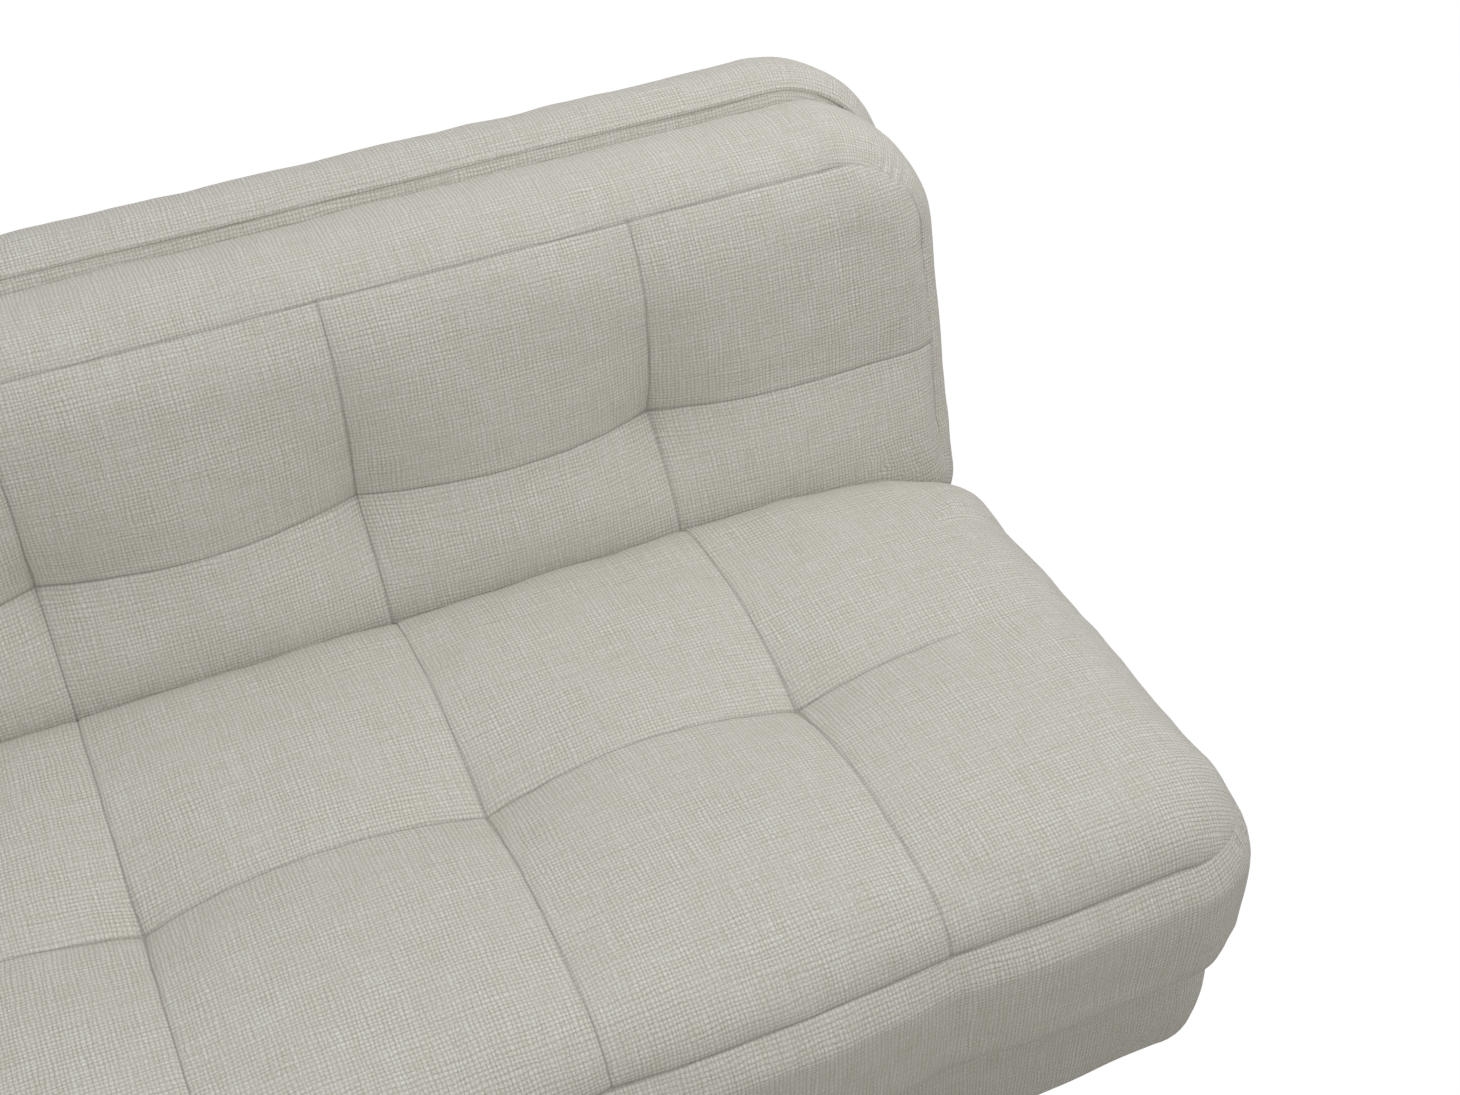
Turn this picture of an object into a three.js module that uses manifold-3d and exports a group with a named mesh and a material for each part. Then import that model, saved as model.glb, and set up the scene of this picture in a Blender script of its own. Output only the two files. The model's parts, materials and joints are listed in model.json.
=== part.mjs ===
// An armless click-clack sofa bed: a quilted seat on an upholstered plinth, and a quilted back
// that swings down level with the seat on a pair of ratchet hinges.
// Millimetres, +Z up, +X along the sofa, the front towards -Y. The origin is the middle of the
// sofa's box, on the floor.

import * as THREE from 'three';
import { mergeVertices } from 'three/addons/utils/BufferGeometryUtils.js';
import Module from 'manifold-3d';

const wasm = await Module();
wasm.setup();

const { degToRad, lerp } = THREE.MathUtils;

// Driving dimensions of the sofa
const sofaLength = 1930;
const seatTop = 450;
const seatThickness = 228;
const seatDepth = 567;
const seatEndInset = 5;
const backThickness = 222;
const backCushionThickness = 120;
const shellAbovePivot = 436;
const cushionAbovePivot = 400;
const footHeight = 70;
const recline = degToRad(17);

// Clearances
const touchGap = 0.3;
const boreGap = 0.5;
const cutOverrun = 10;

// The hinge line, behind and below the crease
const pivotBelowSeat = 80;
const backBelowPivot = 80;
const creaseGap = 8;

// Quilting, in the same columns on the seat and the back
const seamPitch = 310;
const seamsPerSide = 2;
const seatRowSeam = 313;
const backRowSeam = 222;
const seatCrossDrop = 32;
const backCrossDrop = 44;
const seamDrop = 12;
const crossReach = 150;
const grooveReach = 62;
const crossPower = 2.2;
const groovePower = 1.6;
const frontCrown = 10;
const boxingBulge = 9;
const bulgePower = 2.5;
const endDrawIn = 4;

// Edge roundings of the padded pieces
const seatCorner = 110;
const seatFrontRound = 72;
const seatRearRound = 78;
const seatEndRound = 105;
const seatBaseRound = 60;
const frontSeamPinch = 5;
const backCorner = 135;
const backTopRound = 105;
const backBottomRound = 60;
const backEndRound = 70;
const topSeamPinch = 8;
const endSeamPinch = 6;
const cushionBaseRound = 3;
const shellCorner = 142;
const shellRearRound = 50;
const shellFrontRound = 40;

// Linings: the padding left over the pockets that hold foam and frame
const seatPocketMargin = 15;
const seatPocketHeight = 150;
const backPocketInset = 45;
const backPocketDepth = 55;
const shellPocketMargin = 4;
const shellRearWall = 12;

// Plinth
const plinthFrontInset = 18;
const plinthEndInset = 8;
const plinthBehindPivot = 140;
const plinthCorner = 64;
const plinthPad = 40;
const plinthTopRound = 34;
const plinthBaseRound = 32;
const plinthBoard = 20;
const deckBoard = 12;
const dustCloth = 2;
const footRadius = 26;
const footFoot = 22;
const footChamfer = 3;
const footInset = 95;

// Seat frame
const railWidth = 45;
const railHeight = 60;
const slatCount = 6;
const slatWidth = 70;
const slatThickness = 18;
const slatEndMargin = 20;

// Back frame
const backRailWidth = 45;
const backFrameDepth = 60;
const backFrameFoot = 62;
const backFrameTop = 368;
const stileWidth = 40;

// Hinge plates
const plateThickness = 5;
const plateGap = 0.5;
const bracketHalfWidth = 28;
const ratchetRadius = 52;
const notchDepth = 7;
const notchWidth = 5.6;
const notchTaper = 0.4;
const ratchetFacets = 40;
const pawlAngle = degToRad(250);
const notchTurns = [-10, 0, 37, 73].map(degToRad);
const tipClearance = 0.5;
const armInner = 58;
const armOuter = 100;
const armCrook = 57;
const armHeel = 32;
const armTop = 190;
const pawlLength = 36;
const pawlHubRadius = 7;
const pawlWidth = 8;
const pawlTipWidth = 2;
const pawlRootWidth = 3.6;
const pawlEndWidth = 6;
const pinRadius = 3.5;
const pinHeadRadius = 6;
const pinHeadHeight = 3;
const pivotRadius = 6;
const pivotHeadRadius = 10;
const pivotHeadHeight = 5;
const boltRadius = 4;
const boltHeadRadius = 7;
const boltHeadHeight = 3.6;
const bracketBoltLength = 12;
const armBoltLength = 26;
const bracketBoltBelowDeck = 34.4;
const bracketBoltPitch = 60;
const bracketBoltMargin = 25;
const armBoltMargin = 30;
const armBoltPitch = 70;
const springThickness = 1.4;
const springWidth = 4.4;
const springFootLength = 14;
const springReach = 30;
const springDrop = 24;

// Room left around the hinge in the slots that it swings in
const slotDiscGap = 3;
const slotBracketGap = 8;
const slotCrookGap = 1;
const slotNutGap = 2.6;
const slotHeadGap = 4.3;

// How many facets stand for a round
const padFacets = 5;
const roundFacets = 16;
const smallFacets = 12;

// Places worked out from the sizes above
const halfLength = sofaLength / 2;
const halfSeat = halfLength - seatEndInset;
const seatBottom = seatTop - seatThickness;
const pivotZ = seatTop - pivotBelowSeat;
const seatRearToPivot = backBelowPivot + creaseGap;
const rearSwing = backThickness - pivotBelowSeat;
const rearReach = (shellAbovePivot - shellRearRound) * Math.sin(recline)
  + (rearSwing - shellRearRound) * Math.cos(recline) + shellRearRound;
const sofaDepth = seatDepth + seatRearToPivot + rearReach;
const seatFront = -sofaDepth / 2 + boxingBulge / 2;
const pivotY = seatFront + seatDepth + seatRearToPivot;
const shellFrontPlane = backCushionThickness - pivotBelowSeat;

const bracketOuterX = halfLength - plinthEndInset - plinthPad - plinthBoard - 2 * touchGap;
const bracketInnerX = bracketOuterX - plateThickness;
const armOuterX = bracketInnerX - plateGap;
const armInnerX = armOuterX - plateThickness;
const stileOuterX = armInnerX - touchGap;
const cushionSlotInner = stileOuterX - pivotHeadHeight - slotNutGap;
const slotOuter = bracketOuterX + touchGap + pivotHeadHeight + slotHeadGap;
const slotFront = bracketHalfWidth + slotBracketGap;
const slotTop = armCrook + slotCrookGap;
const highArmBolt = armTop - armBoltMargin;
const armBoltHeights = [highArmBolt - armBoltPitch, highArmBolt];

// Materials
const finishes = {
  cover: { color: 0xc6c2b8, roughness: 0.95, metalness: 0 },
  plinthCover: { color: 0xb9b5aa, roughness: 0.95, metalness: 0 },
  lining: { color: 0x2b2a28, roughness: 0.95, metalness: 0 },
  foam: { color: 0xe6dfc4, roughness: 0.9, metalness: 0 },
  timber: { color: 0xc9a673, roughness: 0.7, metalness: 0 },
  steel: { color: 0x2f3235, roughness: 0.45, metalness: 0.8 },
  bolt: { color: 0xb4b7ba, roughness: 0.35, metalness: 1 },
  foot: { color: 0x1d1d1d, roughness: 0.6, metalness: 0 },
};

/** Welds a geometry into an indexed surface without flat triangles, facing outwards. */
function weld(geometry) {
  const bare = geometry.clone();
  bare.deleteAttribute('normal');
  bare.deleteAttribute('uv');
  const merged = mergeVertices(bare);
  const corners = [];
  const index = merged.index.array;
  for (let t = 0; t < index.length; t += 3) {
    const [a, b, c] = [index[t], index[t + 1], index[t + 2]];
    if (a !== b && b !== c && c !== a) corners.push(a, b, c);
  }
  if (signedVolume(merged.attributes.position, corners) < 0) corners.reverse();
  merged.setIndex(corners);
  return merged;
}

function signedVolume(position, corners) {
  const [a, b, c] = [new THREE.Vector3(), new THREE.Vector3(), new THREE.Vector3()];
  let volume = 0;
  for (let t = 0; t < corners.length; t += 3) {
    a.fromBufferAttribute(position, corners[t]);
    b.fromBufferAttribute(position, corners[t + 1]);
    c.fromBufferAttribute(position, corners[t + 2]);
    volume += a.dot(b.cross(c));
  }
  return volume;
}

function toSolid(geometry) {
  const welded = weld(geometry);
  const mesh = new wasm.Mesh({
    numProp: 3,
    vertProperties: new Float32Array(welded.attributes.position.array),
    triVerts: new Uint32Array(welded.index.array),
  });
  return new wasm.Manifold(mesh);
}

function toGeometry(solid) {
  const mesh = solid.getMesh();
  const geometry = new THREE.BufferGeometry();
  geometry.setAttribute('position', new THREE.BufferAttribute(mesh.vertProperties, 3));
  geometry.setIndex(new THREE.BufferAttribute(mesh.triVerts, 1));
  return geometry;
}

/** Cuts every cutter out of a geometry. */
function cut(geometry, cutters) {
  let solid = toSolid(geometry);
  for (const cutter of cutters) solid = solid.subtract(toSolid(cutter));
  return toGeometry(solid);
}

function named(name, geometry, finish) {
  const shown = weld(geometry);
  shown.computeVertexNormals();
  const mesh = new THREE.Mesh(shown, new THREE.MeshStandardMaterial(finishes[finish]));
  mesh.name = name;
  return mesh;
}

/** A box given by its lowest and highest corners. */
function block(low, high) {
  const size = high.map((value, axis) => value - low[axis]);
  const geometry = new THREE.BoxGeometry(...size);
  geometry.translate(...high.map((value, axis) => (value + low[axis]) / 2));
  return weld(geometry);
}

/** A rectangle in a plane with its own radius at each corner, anticlockwise from the low one. */
function roundedRectangle(low, high, radii) {
  const [lowLow, highLow, highHigh, lowHigh] = radii;
  const shape = new THREE.Shape();
  shape.moveTo(low[0] + lowLow, low[1]);
  shape.lineTo(high[0] - highLow, low[1]);
  shape.absarc(high[0] - highLow, low[1] + highLow, highLow, -Math.PI / 2, 0, false);
  shape.lineTo(high[0], high[1] - highHigh);
  shape.absarc(high[0] - highHigh, high[1] - highHigh, highHigh, 0, Math.PI / 2, false);
  shape.lineTo(low[0] + lowHigh, high[1]);
  shape.absarc(low[0] + lowHigh, high[1] - lowHigh, lowHigh, Math.PI / 2, Math.PI, false);
  shape.lineTo(low[0], low[1] + lowLow);
  shape.absarc(low[0] + lowLow, low[1] + lowLow, lowLow, Math.PI, Math.PI * 1.5, false);
  return shape;
}

function extrude(shape, depth, curveSegments = padFacets) {
  return new THREE.ExtrudeGeometry(shape, { depth, bevelEnabled: false, curveSegments });
}

/** Stands an outline drawn in (y, z) up across the sofa, from one x to another. */
function acrossSofa(shape, fromX, toX, curveSegments = roundFacets) {
  const geometry = extrude(shape, Math.abs(toX - fromX), curveSegments);
  const turn = new THREE.Matrix4().makeBasis(
    new THREE.Vector3(0, 1, 0),
    new THREE.Vector3(0, 0, 1),
    new THREE.Vector3(1, 0, 0),
  );
  geometry.applyMatrix4(turn);
  geometry.translate(Math.min(fromX, toX), 0, 0);
  return geometry;
}

/** A turned piece along x on one side of the sofa, from pairs of distance along x and radius. */
function turned(side, y, z, stations, facets) {
  const points = stations.map(([along, radius]) => new THREE.Vector2(radius, along));
  const geometry = new THREE.LatheGeometry(points, facets);
  geometry.rotateZ(-side * Math.PI / 2);
  geometry.translate(0, y, z);
  return geometry;
}

/** How close a place is to the nearest of some seams: 1 on a seam and 0 beyond its reach. */
function closeness(place, seams, reach) {
  const distances = seams.map((seam) => Math.abs(place - seam));
  return Math.max(0, 1 - Math.min(...distances) / reach);
}

const columnSeams = [];
for (let n = -seamsPerSide; n <= seamsPerSide; n += 1) columnSeams.push(n * seamPitch);

/** How deep the quilting draws the cover down at a place on a cushion. */
function quiltDrop(x, y, rowSeam, crossDrop) {
  const column = closeness(x, columnSeams, crossReach);
  const row = closeness(y, [rowSeam], crossReach);
  const columnGroove = closeness(x, columnSeams, grooveReach) ** groovePower;
  const rowGroove = closeness(y, [rowSeam], grooveReach) ** groovePower;
  const groove = Math.max(columnGroove, rowGroove);
  return crossDrop * (column * row) ** crossPower + seamDrop * groove;
}

// The rings of each edge rounding by their angle, and how strongly its seam pinches each ring
const plainAngles = [0, 22, 45, 68, 90];
const seatFrontAngles = [0, 26, 46, 68, 90];
const seatBaseAngles = [35, 65, 90];
const backTopAngles = [0, 27, 54, 72, 90];
const backEndAngles = [0, 14, 29, 58, 90];
const baseAngles = [22, 45, 68, 90];
const unpinchedShares = [0, 0, 0, 0, 0];
const seatFrontPinchShares = [0, 1, 0, 0, 0];
const backTopPinchShares = [0, 0.1, 1, 0.4, 0.1];
const backEndPinchShares = [0, 0, 1, 0, 0];

// How much of the quilting and of the side's shift each ring takes, from the side to the top.
// The quilting ends at a seam round an edge.
const plainFadeShares = [0, 0.35, 0.7, 0.9, 1, 1];
const seatFrontFadeShares = [0, 0.1, 0.6, 0.9, 1, 1];
const backTopFadeShares = [0, 0, 0, 0.6, 1, 1];
const backEndFadeShares = [0, 0, 0.1, 0.8, 1, 1];
const shiftFadeShares = [1, 0.85, 0.5, 0.2, 0.05, 0];
const cornerRing = plainAngles.length;

/** An edge rounding: its radius, the angles of its rings, its seam's pinch and its quilting. */
function edge(radius, angles, fadeShares = plainFadeShares, pinch = 0, pinchShares = unpinchedShares) {
  return { radius, angles: angles.map(degToRad), fadeShares, pinch, pinchShares };
}

/** How far a ring of an edge lies in from the outline and below the top. */
function ringPlace(edgeShape, ring, cornerRadius) {
  if (ring >= cornerRing) return { inset: cornerRadius, drop: 0 };
  const angle = edgeShape.angles[ring];
  const pinch = edgeShape.pinch * edgeShape.pinchShares[ring];
  return {
    inset: edgeShape.radius * (1 - Math.cos(angle)) + pinch * Math.cos(angle),
    drop: edgeShape.radius * (1 - Math.sin(angle)) + pinch * Math.sin(angle),
  };
}

/** The grid lines of a form along one axis: edge rings, lines between, and edge rings again. */
function gridLines(low, high, lowEdge, highEdge, cornerRadius, between) {
  const rings = [...Array(cornerRing + 1).keys()];
  const lowLines = rings.map((ring) => low + ringPlace(lowEdge, ring, cornerRadius).inset);
  const highLines = rings.map((ring) => high - ringPlace(highEdge, ring, cornerRadius).inset);
  return [...lowLines, ...between, ...highLines.reverse()];
}

/** One grid point of a form: its place, drop, share of quilting, ring and outward direction. */
function planPoint(form, i, j) {
  const lastI = form.xs.length - 1;
  const lastJ = form.ys.length - 1;
  const ringX = Math.min(i, lastI - i);
  const ringY = Math.min(j, lastJ - j);
  const signX = i * 2 < lastI ? -1 : 1;
  const signY = j * 2 < lastJ ? -1 : 1;
  const sideEdge = signY < 0 ? form.near : form.far;
  const ring = Math.min(ringX, ringY, cornerRing);
  const atEnd = ringX < cornerRing;
  const atSide = ringY < cornerRing;
  if (atEnd && atSide) {
    const towardsEnd = (Math.PI / 4) * (cornerRing - ringY) / (cornerRing - ringX);
    const towardsSide = (Math.PI / 2) - (Math.PI / 4) * (cornerRing - ringX) / (cornerRing - ringY);
    const turn = ringX <= ringY ? towardsEnd : towardsSide;
    const share = turn / (Math.PI / 2);
    const endPlace = ringPlace(form.end, ring, form.corner);
    const sidePlace = ringPlace(sideEdge, ring, form.corner);
    const reach = form.corner - lerp(endPlace.inset, sidePlace.inset, share);
    const outX = signX * Math.cos(turn);
    const outY = signY * Math.sin(turn);
    const centreY = signY < 0 ? form.corner : form.depth - form.corner;
    return {
      x: signX * (form.length / 2 - form.corner) + outX * reach,
      y: centreY + outY * reach,
      drop: lerp(endPlace.drop, sidePlace.drop, share),
      fade: lerp(form.end.fadeShares[ring], sideEdge.fadeShares[ring], share),
      radius: lerp(form.end.radius, sideEdge.radius, share),
      ring, outX, outY,
    };
  }
  const nearestEdge = atEnd ? form.end : sideEdge;
  return {
    x: form.xs[i],
    y: form.ys[j],
    drop: ringPlace(nearestEdge, ring, form.corner).drop,
    fade: nearestEdge.fadeShares[ring],
    radius: nearestEdge.radius,
    ring,
    outX: atEnd ? signX : 0,
    outY: atSide ? signY : 0,
  };
}

/** How far a form's side stands out at a place: full between seams, drawn in along its ends. */
function sideShift(form, point) {
  const between = 1 - closeness(point.x, columnSeams, seamPitch / 2) ** bulgePower;
  const along = 2 * point.y / form.depth - 1;
  const bulge = form.bulge * between * Math.max(0, -point.outY);
  const drawIn = form.drawIn * (1 - along * along) * Math.abs(point.outX);
  return bulge - drawIn;
}

/** Adds two faces to a four-sided cell, split along its shorter diagonal. */
function splitCell(corners, places, a, b, c, d) {
  const apart = (from, to) => Math.hypot(...places[from].map((value, axis) => value - places[to][axis]));
  if (apart(b, d) < apart(a, c)) corners.push(a, b, d, b, c, d);
  else corners.push(a, b, c, a, c, d);
}

/** A padded piece in plan, top up: a quilted or plain crown, rounded edges and a flat base. */
function paddedForm(form) {
  const places = [];
  const corners = [];
  const rows = form.ys.length;
  const at = (i, j) => i * rows + j;
  for (let i = 0; i < form.xs.length; i += 1) {
    for (let j = 0; j < rows; j += 1) {
      const point = planPoint(form, i, j);
      const shift = sideShift(form, point) * shiftFadeShares[point.ring];
      const sunk = form.quilt(point.x, point.y) * point.fade;
      const z = form.height - point.drop - sunk;
      places.push([point.x + point.outX * shift, point.y + point.outY * shift, z]);
    }
  }
  const lastI = form.xs.length - 1;
  const lastJ = rows - 1;
  for (let i = 0; i < lastI; i += 1) {
    for (let j = 0; j < lastJ; j += 1) {
      splitCell(corners, places, at(i, j), at(i + 1, j), at(i + 1, j + 1), at(i, j + 1));
    }
  }

  const rim = [];
  for (let i = 0; i < lastI; i += 1) rim.push([i, 0]);
  for (let j = 0; j < lastJ; j += 1) rim.push([lastI, j]);
  for (let i = lastI; i > 0; i -= 1) rim.push([i, lastJ]);
  for (let j = lastJ; j > 0; j -= 1) rim.push([0, j]);

  let upper = rim.map(([i, j]) => at(i, j));
  for (const level of form.levels) {
    const lower = rim.map(([i, j]) => {
      const point = planPoint(form, i, j);
      const shift = sideShift(form, point) * level.shiftShare - level.inset;
      const z = level.share === undefined
        ? level.z
        : lerp(form.height - point.radius, form.baseRound, level.share);
      places.push([point.x + point.outX * shift, point.y + point.outY * shift, z]);
      return places.length - 1;
    });
    for (let m = 0; m < rim.length; m += 1) {
      const next = (m + 1) % rim.length;
      corners.push(upper[m], lower[m], lower[next], upper[m], lower[next], upper[next]);
    }
    upper = lower;
  }
  const outline = upper.map((corner) => new THREE.Vector2(places[corner][0], places[corner][1]));
  for (const [a, b, c] of THREE.ShapeUtils.triangulateShape(outline, [])) {
    corners.push(upper[a], upper[c], upper[b]);
  }
  const geometry = new THREE.BufferGeometry();
  geometry.setAttribute('position', new THREE.Float32BufferAttribute(places.flat(), 3));
  geometry.setIndex(corners);
  return geometry;
}

/** The levels of a form's side below its edge rounding, down to its base. */
function sideLevels(baseRound, sideShares, baseAngles) {
  const sides = sideShares.map((share) => ({ share, inset: 0, shiftShare: 1 - share / 2 }));
  const bottoms = baseAngles.map(degToRad).map((angle) => ({
    z: baseRound * (1 - Math.sin(angle)),
    inset: baseRound * (1 - Math.cos(angle)),
    shiftShare: 0.5 * Math.cos(angle),
  }));
  return [...sides, ...bottoms];
}

// Where the lines of a form lie: across a column, across the end column and along the sides
const columnShares = [0.13, 0.36, 0.64, 0.87];
const endColumnShares = [0.15, 0.48, 0.8];
const seatRowShares = [0.4, 0.82];
const backRowShares = [0.1, 0.7];
const shellRowShares = [0.35, 0.7];
const seatSideShares = [0.5, 1];
const wholeSideShares = [1];

/** Lines either side of each seam and between seams, for quilted forms. */
function quiltedLines(half, corner) {
  const endColumn = half - seamsPerSide * seamPitch - corner;
  const lines = endColumnShares.map((share) => seamsPerSide * seamPitch + endColumn * share);
  const inner = columnSeams.slice(0, -1);
  const middle = inner.flatMap((seam) => columnShares.map((share) => seam + seamPitch * share));
  return [...lines.map((line) => -line), ...columnSeams, ...middle, ...lines].sort((a, b) => a - b);
}

/** Lines either side of a row seam, out to the corners of a form. */
function rowLines(rowSeam, corner, depth, shares) {
  const before = shares.map((share) => lerp(corner, rowSeam, share));
  const behind = shares.map((share) => lerp(depth - corner, rowSeam, share));
  return [...before, rowSeam, ...behind.reverse()];
}

const seatPocketInset = seatBaseRound + seatPocketMargin;
const seatPocketX = halfSeat - seatPocketInset;
const seatPocketFront = seatFront + seatPocketInset;
const seatPocketRear = seatFront + seatDepth - seatPocketInset;

function seatForm() {
  const front = edge(
    seatFrontRound, seatFrontAngles, seatFrontFadeShares, frontSeamPinch, seatFrontPinchShares,
  );
  const rear = edge(seatRearRound, plainAngles);
  const end = edge(seatEndRound, plainAngles);
  const rows = rowLines(seatRowSeam, seatCorner, seatDepth, seatRowShares);
  const crown = (y) => (y < seatRowSeam ? Math.max(0, Math.sin(Math.PI * y / seatRowSeam)) : 0);
  return {
    length: 2 * halfSeat,
    depth: seatDepth,
    height: seatThickness,
    corner: seatCorner,
    near: front,
    far: rear,
    end,
    xs: gridLines(-halfSeat, halfSeat, end, end, seatCorner, quiltedLines(halfSeat, seatCorner)),
    ys: gridLines(0, seatDepth, front, rear, seatCorner, rows),
    quilt: (x, y) => quiltDrop(x, y, seatRowSeam, seatCrossDrop) - frontCrown * crown(y),
    bulge: boxingBulge,
    drawIn: endDrawIn,
    baseRound: seatBaseRound,
    levels: sideLevels(seatBaseRound, seatSideShares, seatBaseAngles),
  };
}

/** The seat's padding and cover, open below over its frame and foam. */
function seatCushion() {
  const form = paddedForm(seatForm());
  form.translate(0, seatFront, seatBottom);
  const pocket = block(
    [-seatPocketX, seatPocketFront, seatBottom - cutOverrun],
    [seatPocketX, seatPocketRear, seatBottom + seatPocketHeight],
  );
  return named('seat_cushion', cut(form, [pocket]), 'cover');
}

/** The seat's timber frame, its slats and the foam over them. */
function seatFrame() {
  const low = seatBottom + touchGap;
  const high = low + railHeight;
  const endX = seatPocketX - touchGap;
  const frontY = seatPocketFront + touchGap;
  const rearY = seatPocketRear - touchGap;
  const betweenFront = frontY + railWidth + touchGap;
  const betweenRear = rearY - railWidth - touchGap;
  const sideInner = endX - railWidth;
  const rail = (name, from, to) => named(name, block(from, to), 'timber');
  const pieces = [
    rail('seat_front_rail', [-endX, frontY, low], [endX, frontY + railWidth, high]),
    rail('seat_rear_rail', [-endX, rearY - railWidth, low], [endX, rearY, high]),
    rail('seat_left_rail', [-endX, betweenFront, low], [-sideInner, betweenRear, high]),
    rail('seat_right_rail', [sideInner, betweenFront, low], [endX, betweenRear, high]),
    rail('seat_centre_rail', [-railWidth / 2, betweenFront, low], [railWidth / 2, betweenRear, high]),
  ];
  const slatLow = high + touchGap;
  const slatHigh = slatLow + slatThickness;
  const slatPitch = 2 * endX / slatCount;
  for (let n = 0; n < slatCount; n += 1) {
    const x = -endX + slatPitch * (n + 0.5);
    const from = [x - slatWidth / 2, frontY + slatEndMargin, slatLow];
    const to = [x + slatWidth / 2, rearY - slatEndMargin, slatHigh];
    pieces.push(rail(`seat_slat_${n + 1}`, from, to));
  }
  const foam = block(
    [-endX, frontY, slatHigh + touchGap],
    [endX, rearY, seatBottom + seatPocketHeight - touchGap],
  );
  pieces.push(named('seat_foam', foam, 'foam'));
  return pieces;
}

// The plinth's outline and the faces of its boards
const plinthFront = seatFront + plinthFrontInset;
const plinthRear = pivotY + plinthBehindPivot;
const plinthX = halfLength - plinthEndInset;
const boardX = plinthX - plinthPad - touchGap;
const boardFront = plinthFront + plinthPad + touchGap;
const boardRear = plinthRear - plinthPad - touchGap;
const plinthTop = seatBottom - touchGap;
const deckLow = plinthTop - deckBoard;
const boardHigh = deckLow - touchGap;
const boardLow = footHeight + dustCloth + touchGap;
const highBracketBolt = boardHigh - bracketBoltBelowDeck;
const lowBracketBolt = highBracketBolt - bracketBoltPitch;
const bracketBoltHeights = [lowBracketBolt, highBracketBolt];
const bracketFoot = lowBracketBolt - bracketBoltMargin;

function plinthForm() {
  const top = edge(plinthTopRound, plainAngles);
  const depth = plinthRear - plinthFront;
  return {
    length: 2 * plinthX,
    depth,
    height: plinthTop - footHeight,
    corner: plinthCorner,
    near: top,
    far: top,
    end: top,
    xs: gridLines(-plinthX, plinthX, top, top, plinthCorner, []),
    ys: gridLines(0, depth, top, top, plinthCorner, []),
    quilt: () => 0,
    bulge: 0,
    drawIn: 0,
    baseRound: plinthBaseRound,
    levels: sideLevels(plinthBaseRound, wholeSideShares, baseAngles),
  };
}

/** The plinth's padded wrap in four strips: the long ones turn the corners. */
function plinthPads() {
  const wrap = paddedForm(plinthForm());
  wrap.translate(0, plinthFront, footHeight);
  const innerX = plinthX - plinthPad;
  const outerX = plinthX + cutOverrun;
  const cornerFront = plinthFront + plinthCorner;
  const cornerRear = plinthRear - plinthCorner;
  const low = footHeight - cutOverrun;
  const high = plinthTop + cutOverrun;
  const farFront = plinthFront - cutOverrun;
  const farRear = plinthRear + cutOverrun;
  const across = (fromX, toX, fromY, toY) => block([fromX, fromY, low], [toX, toY, high]);
  const inside = across(-innerX, innerX, plinthFront + plinthPad, plinthRear - plinthPad);
  const front = across(-outerX, outerX, farFront, cornerFront + touchGap);
  const rear = across(-outerX, outerX, cornerRear - touchGap, farRear);
  const behindFront = across(-outerX, outerX, cornerFront, farRear);
  const beforeRear = across(-outerX, outerX, farFront, cornerRear);
  const leftHalf = across(-outerX, 0, farFront, farRear);
  const rightHalf = across(0, outerX, farFront, farRear);
  const strip = (name, cutters) => named(name, cut(wrap, [inside, ...cutters]), 'plinthCover');
  return [
    strip('plinth_front_pad', [behindFront]),
    strip('plinth_rear_pad', [beforeRear]),
    strip('plinth_left_pad', [front, rear, rightHalf]),
    strip('plinth_right_pad', [front, rear, leftHalf]),
  ];
}

/** The plinth's boards: four sides, one down the middle, the deck and the cloth below. */
function plinthBoards() {
  const sideInner = boardX - plinthBoard;
  const sideFront = boardFront + plinthBoard + touchGap;
  const sideRear = boardRear - plinthBoard - touchGap;
  const board = (name, from, to) => named(name, block(from, to), 'timber');
  const pieces = [
    board('plinth_front_board', [-boardX, boardFront, boardLow],
      [boardX, boardFront + plinthBoard, boardHigh]),
    board('plinth_rear_board', [-boardX, boardRear - plinthBoard, boardLow],
      [boardX, boardRear, boardHigh]),
    board('plinth_middle_board', [-plinthBoard / 2, sideFront, boardLow],
      [plinthBoard / 2, sideRear, boardHigh]),
  ];
  for (const [name, side] of [['left', -1], ['right', 1]]) {
    const ends = [side * sideInner, side * boardX].sort((a, b) => a - b);
    const plain = block([ends[0], sideFront, boardLow], [ends[1], sideRear, boardHigh]);
    const drilled = cut(plain, bracketBoltHeights.map((z) => turned(side, pivotY, z, [
      [sideInner - cutOverrun, 0],
      [sideInner - cutOverrun, boltRadius + boreGap],
      [sideInner + bracketBoltLength + boreGap, boltRadius + boreGap],
      [sideInner + bracketBoltLength + boreGap, 0],
    ], smallFacets)));
    pieces.push(named(`plinth_${name}_board`, drilled, 'timber'));
  }
  const deck = block([-boardX, boardFront, deckLow], [boardX, boardRear, plinthTop]);
  const slots = [-1, 1].map((side) => {
    const ends = [side * (bracketInnerX - touchGap), side * (bracketOuterX + touchGap)];
    ends.sort((a, b) => a - b);
    const halfWidth = bracketHalfWidth + touchGap;
    return block(
      [ends[0], pivotY - halfWidth, deckLow - cutOverrun],
      [ends[1], pivotY + halfWidth, plinthTop + cutOverrun],
    );
  });
  pieces.push(named('plinth_deck', cut(deck, slots), 'lining'));
  const cloth = block([-boardX, boardFront, footHeight], [boardX, boardRear, footHeight + dustCloth]);
  pieces.push(named('dust_cloth', cloth, 'lining'));
  return pieces;
}

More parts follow.
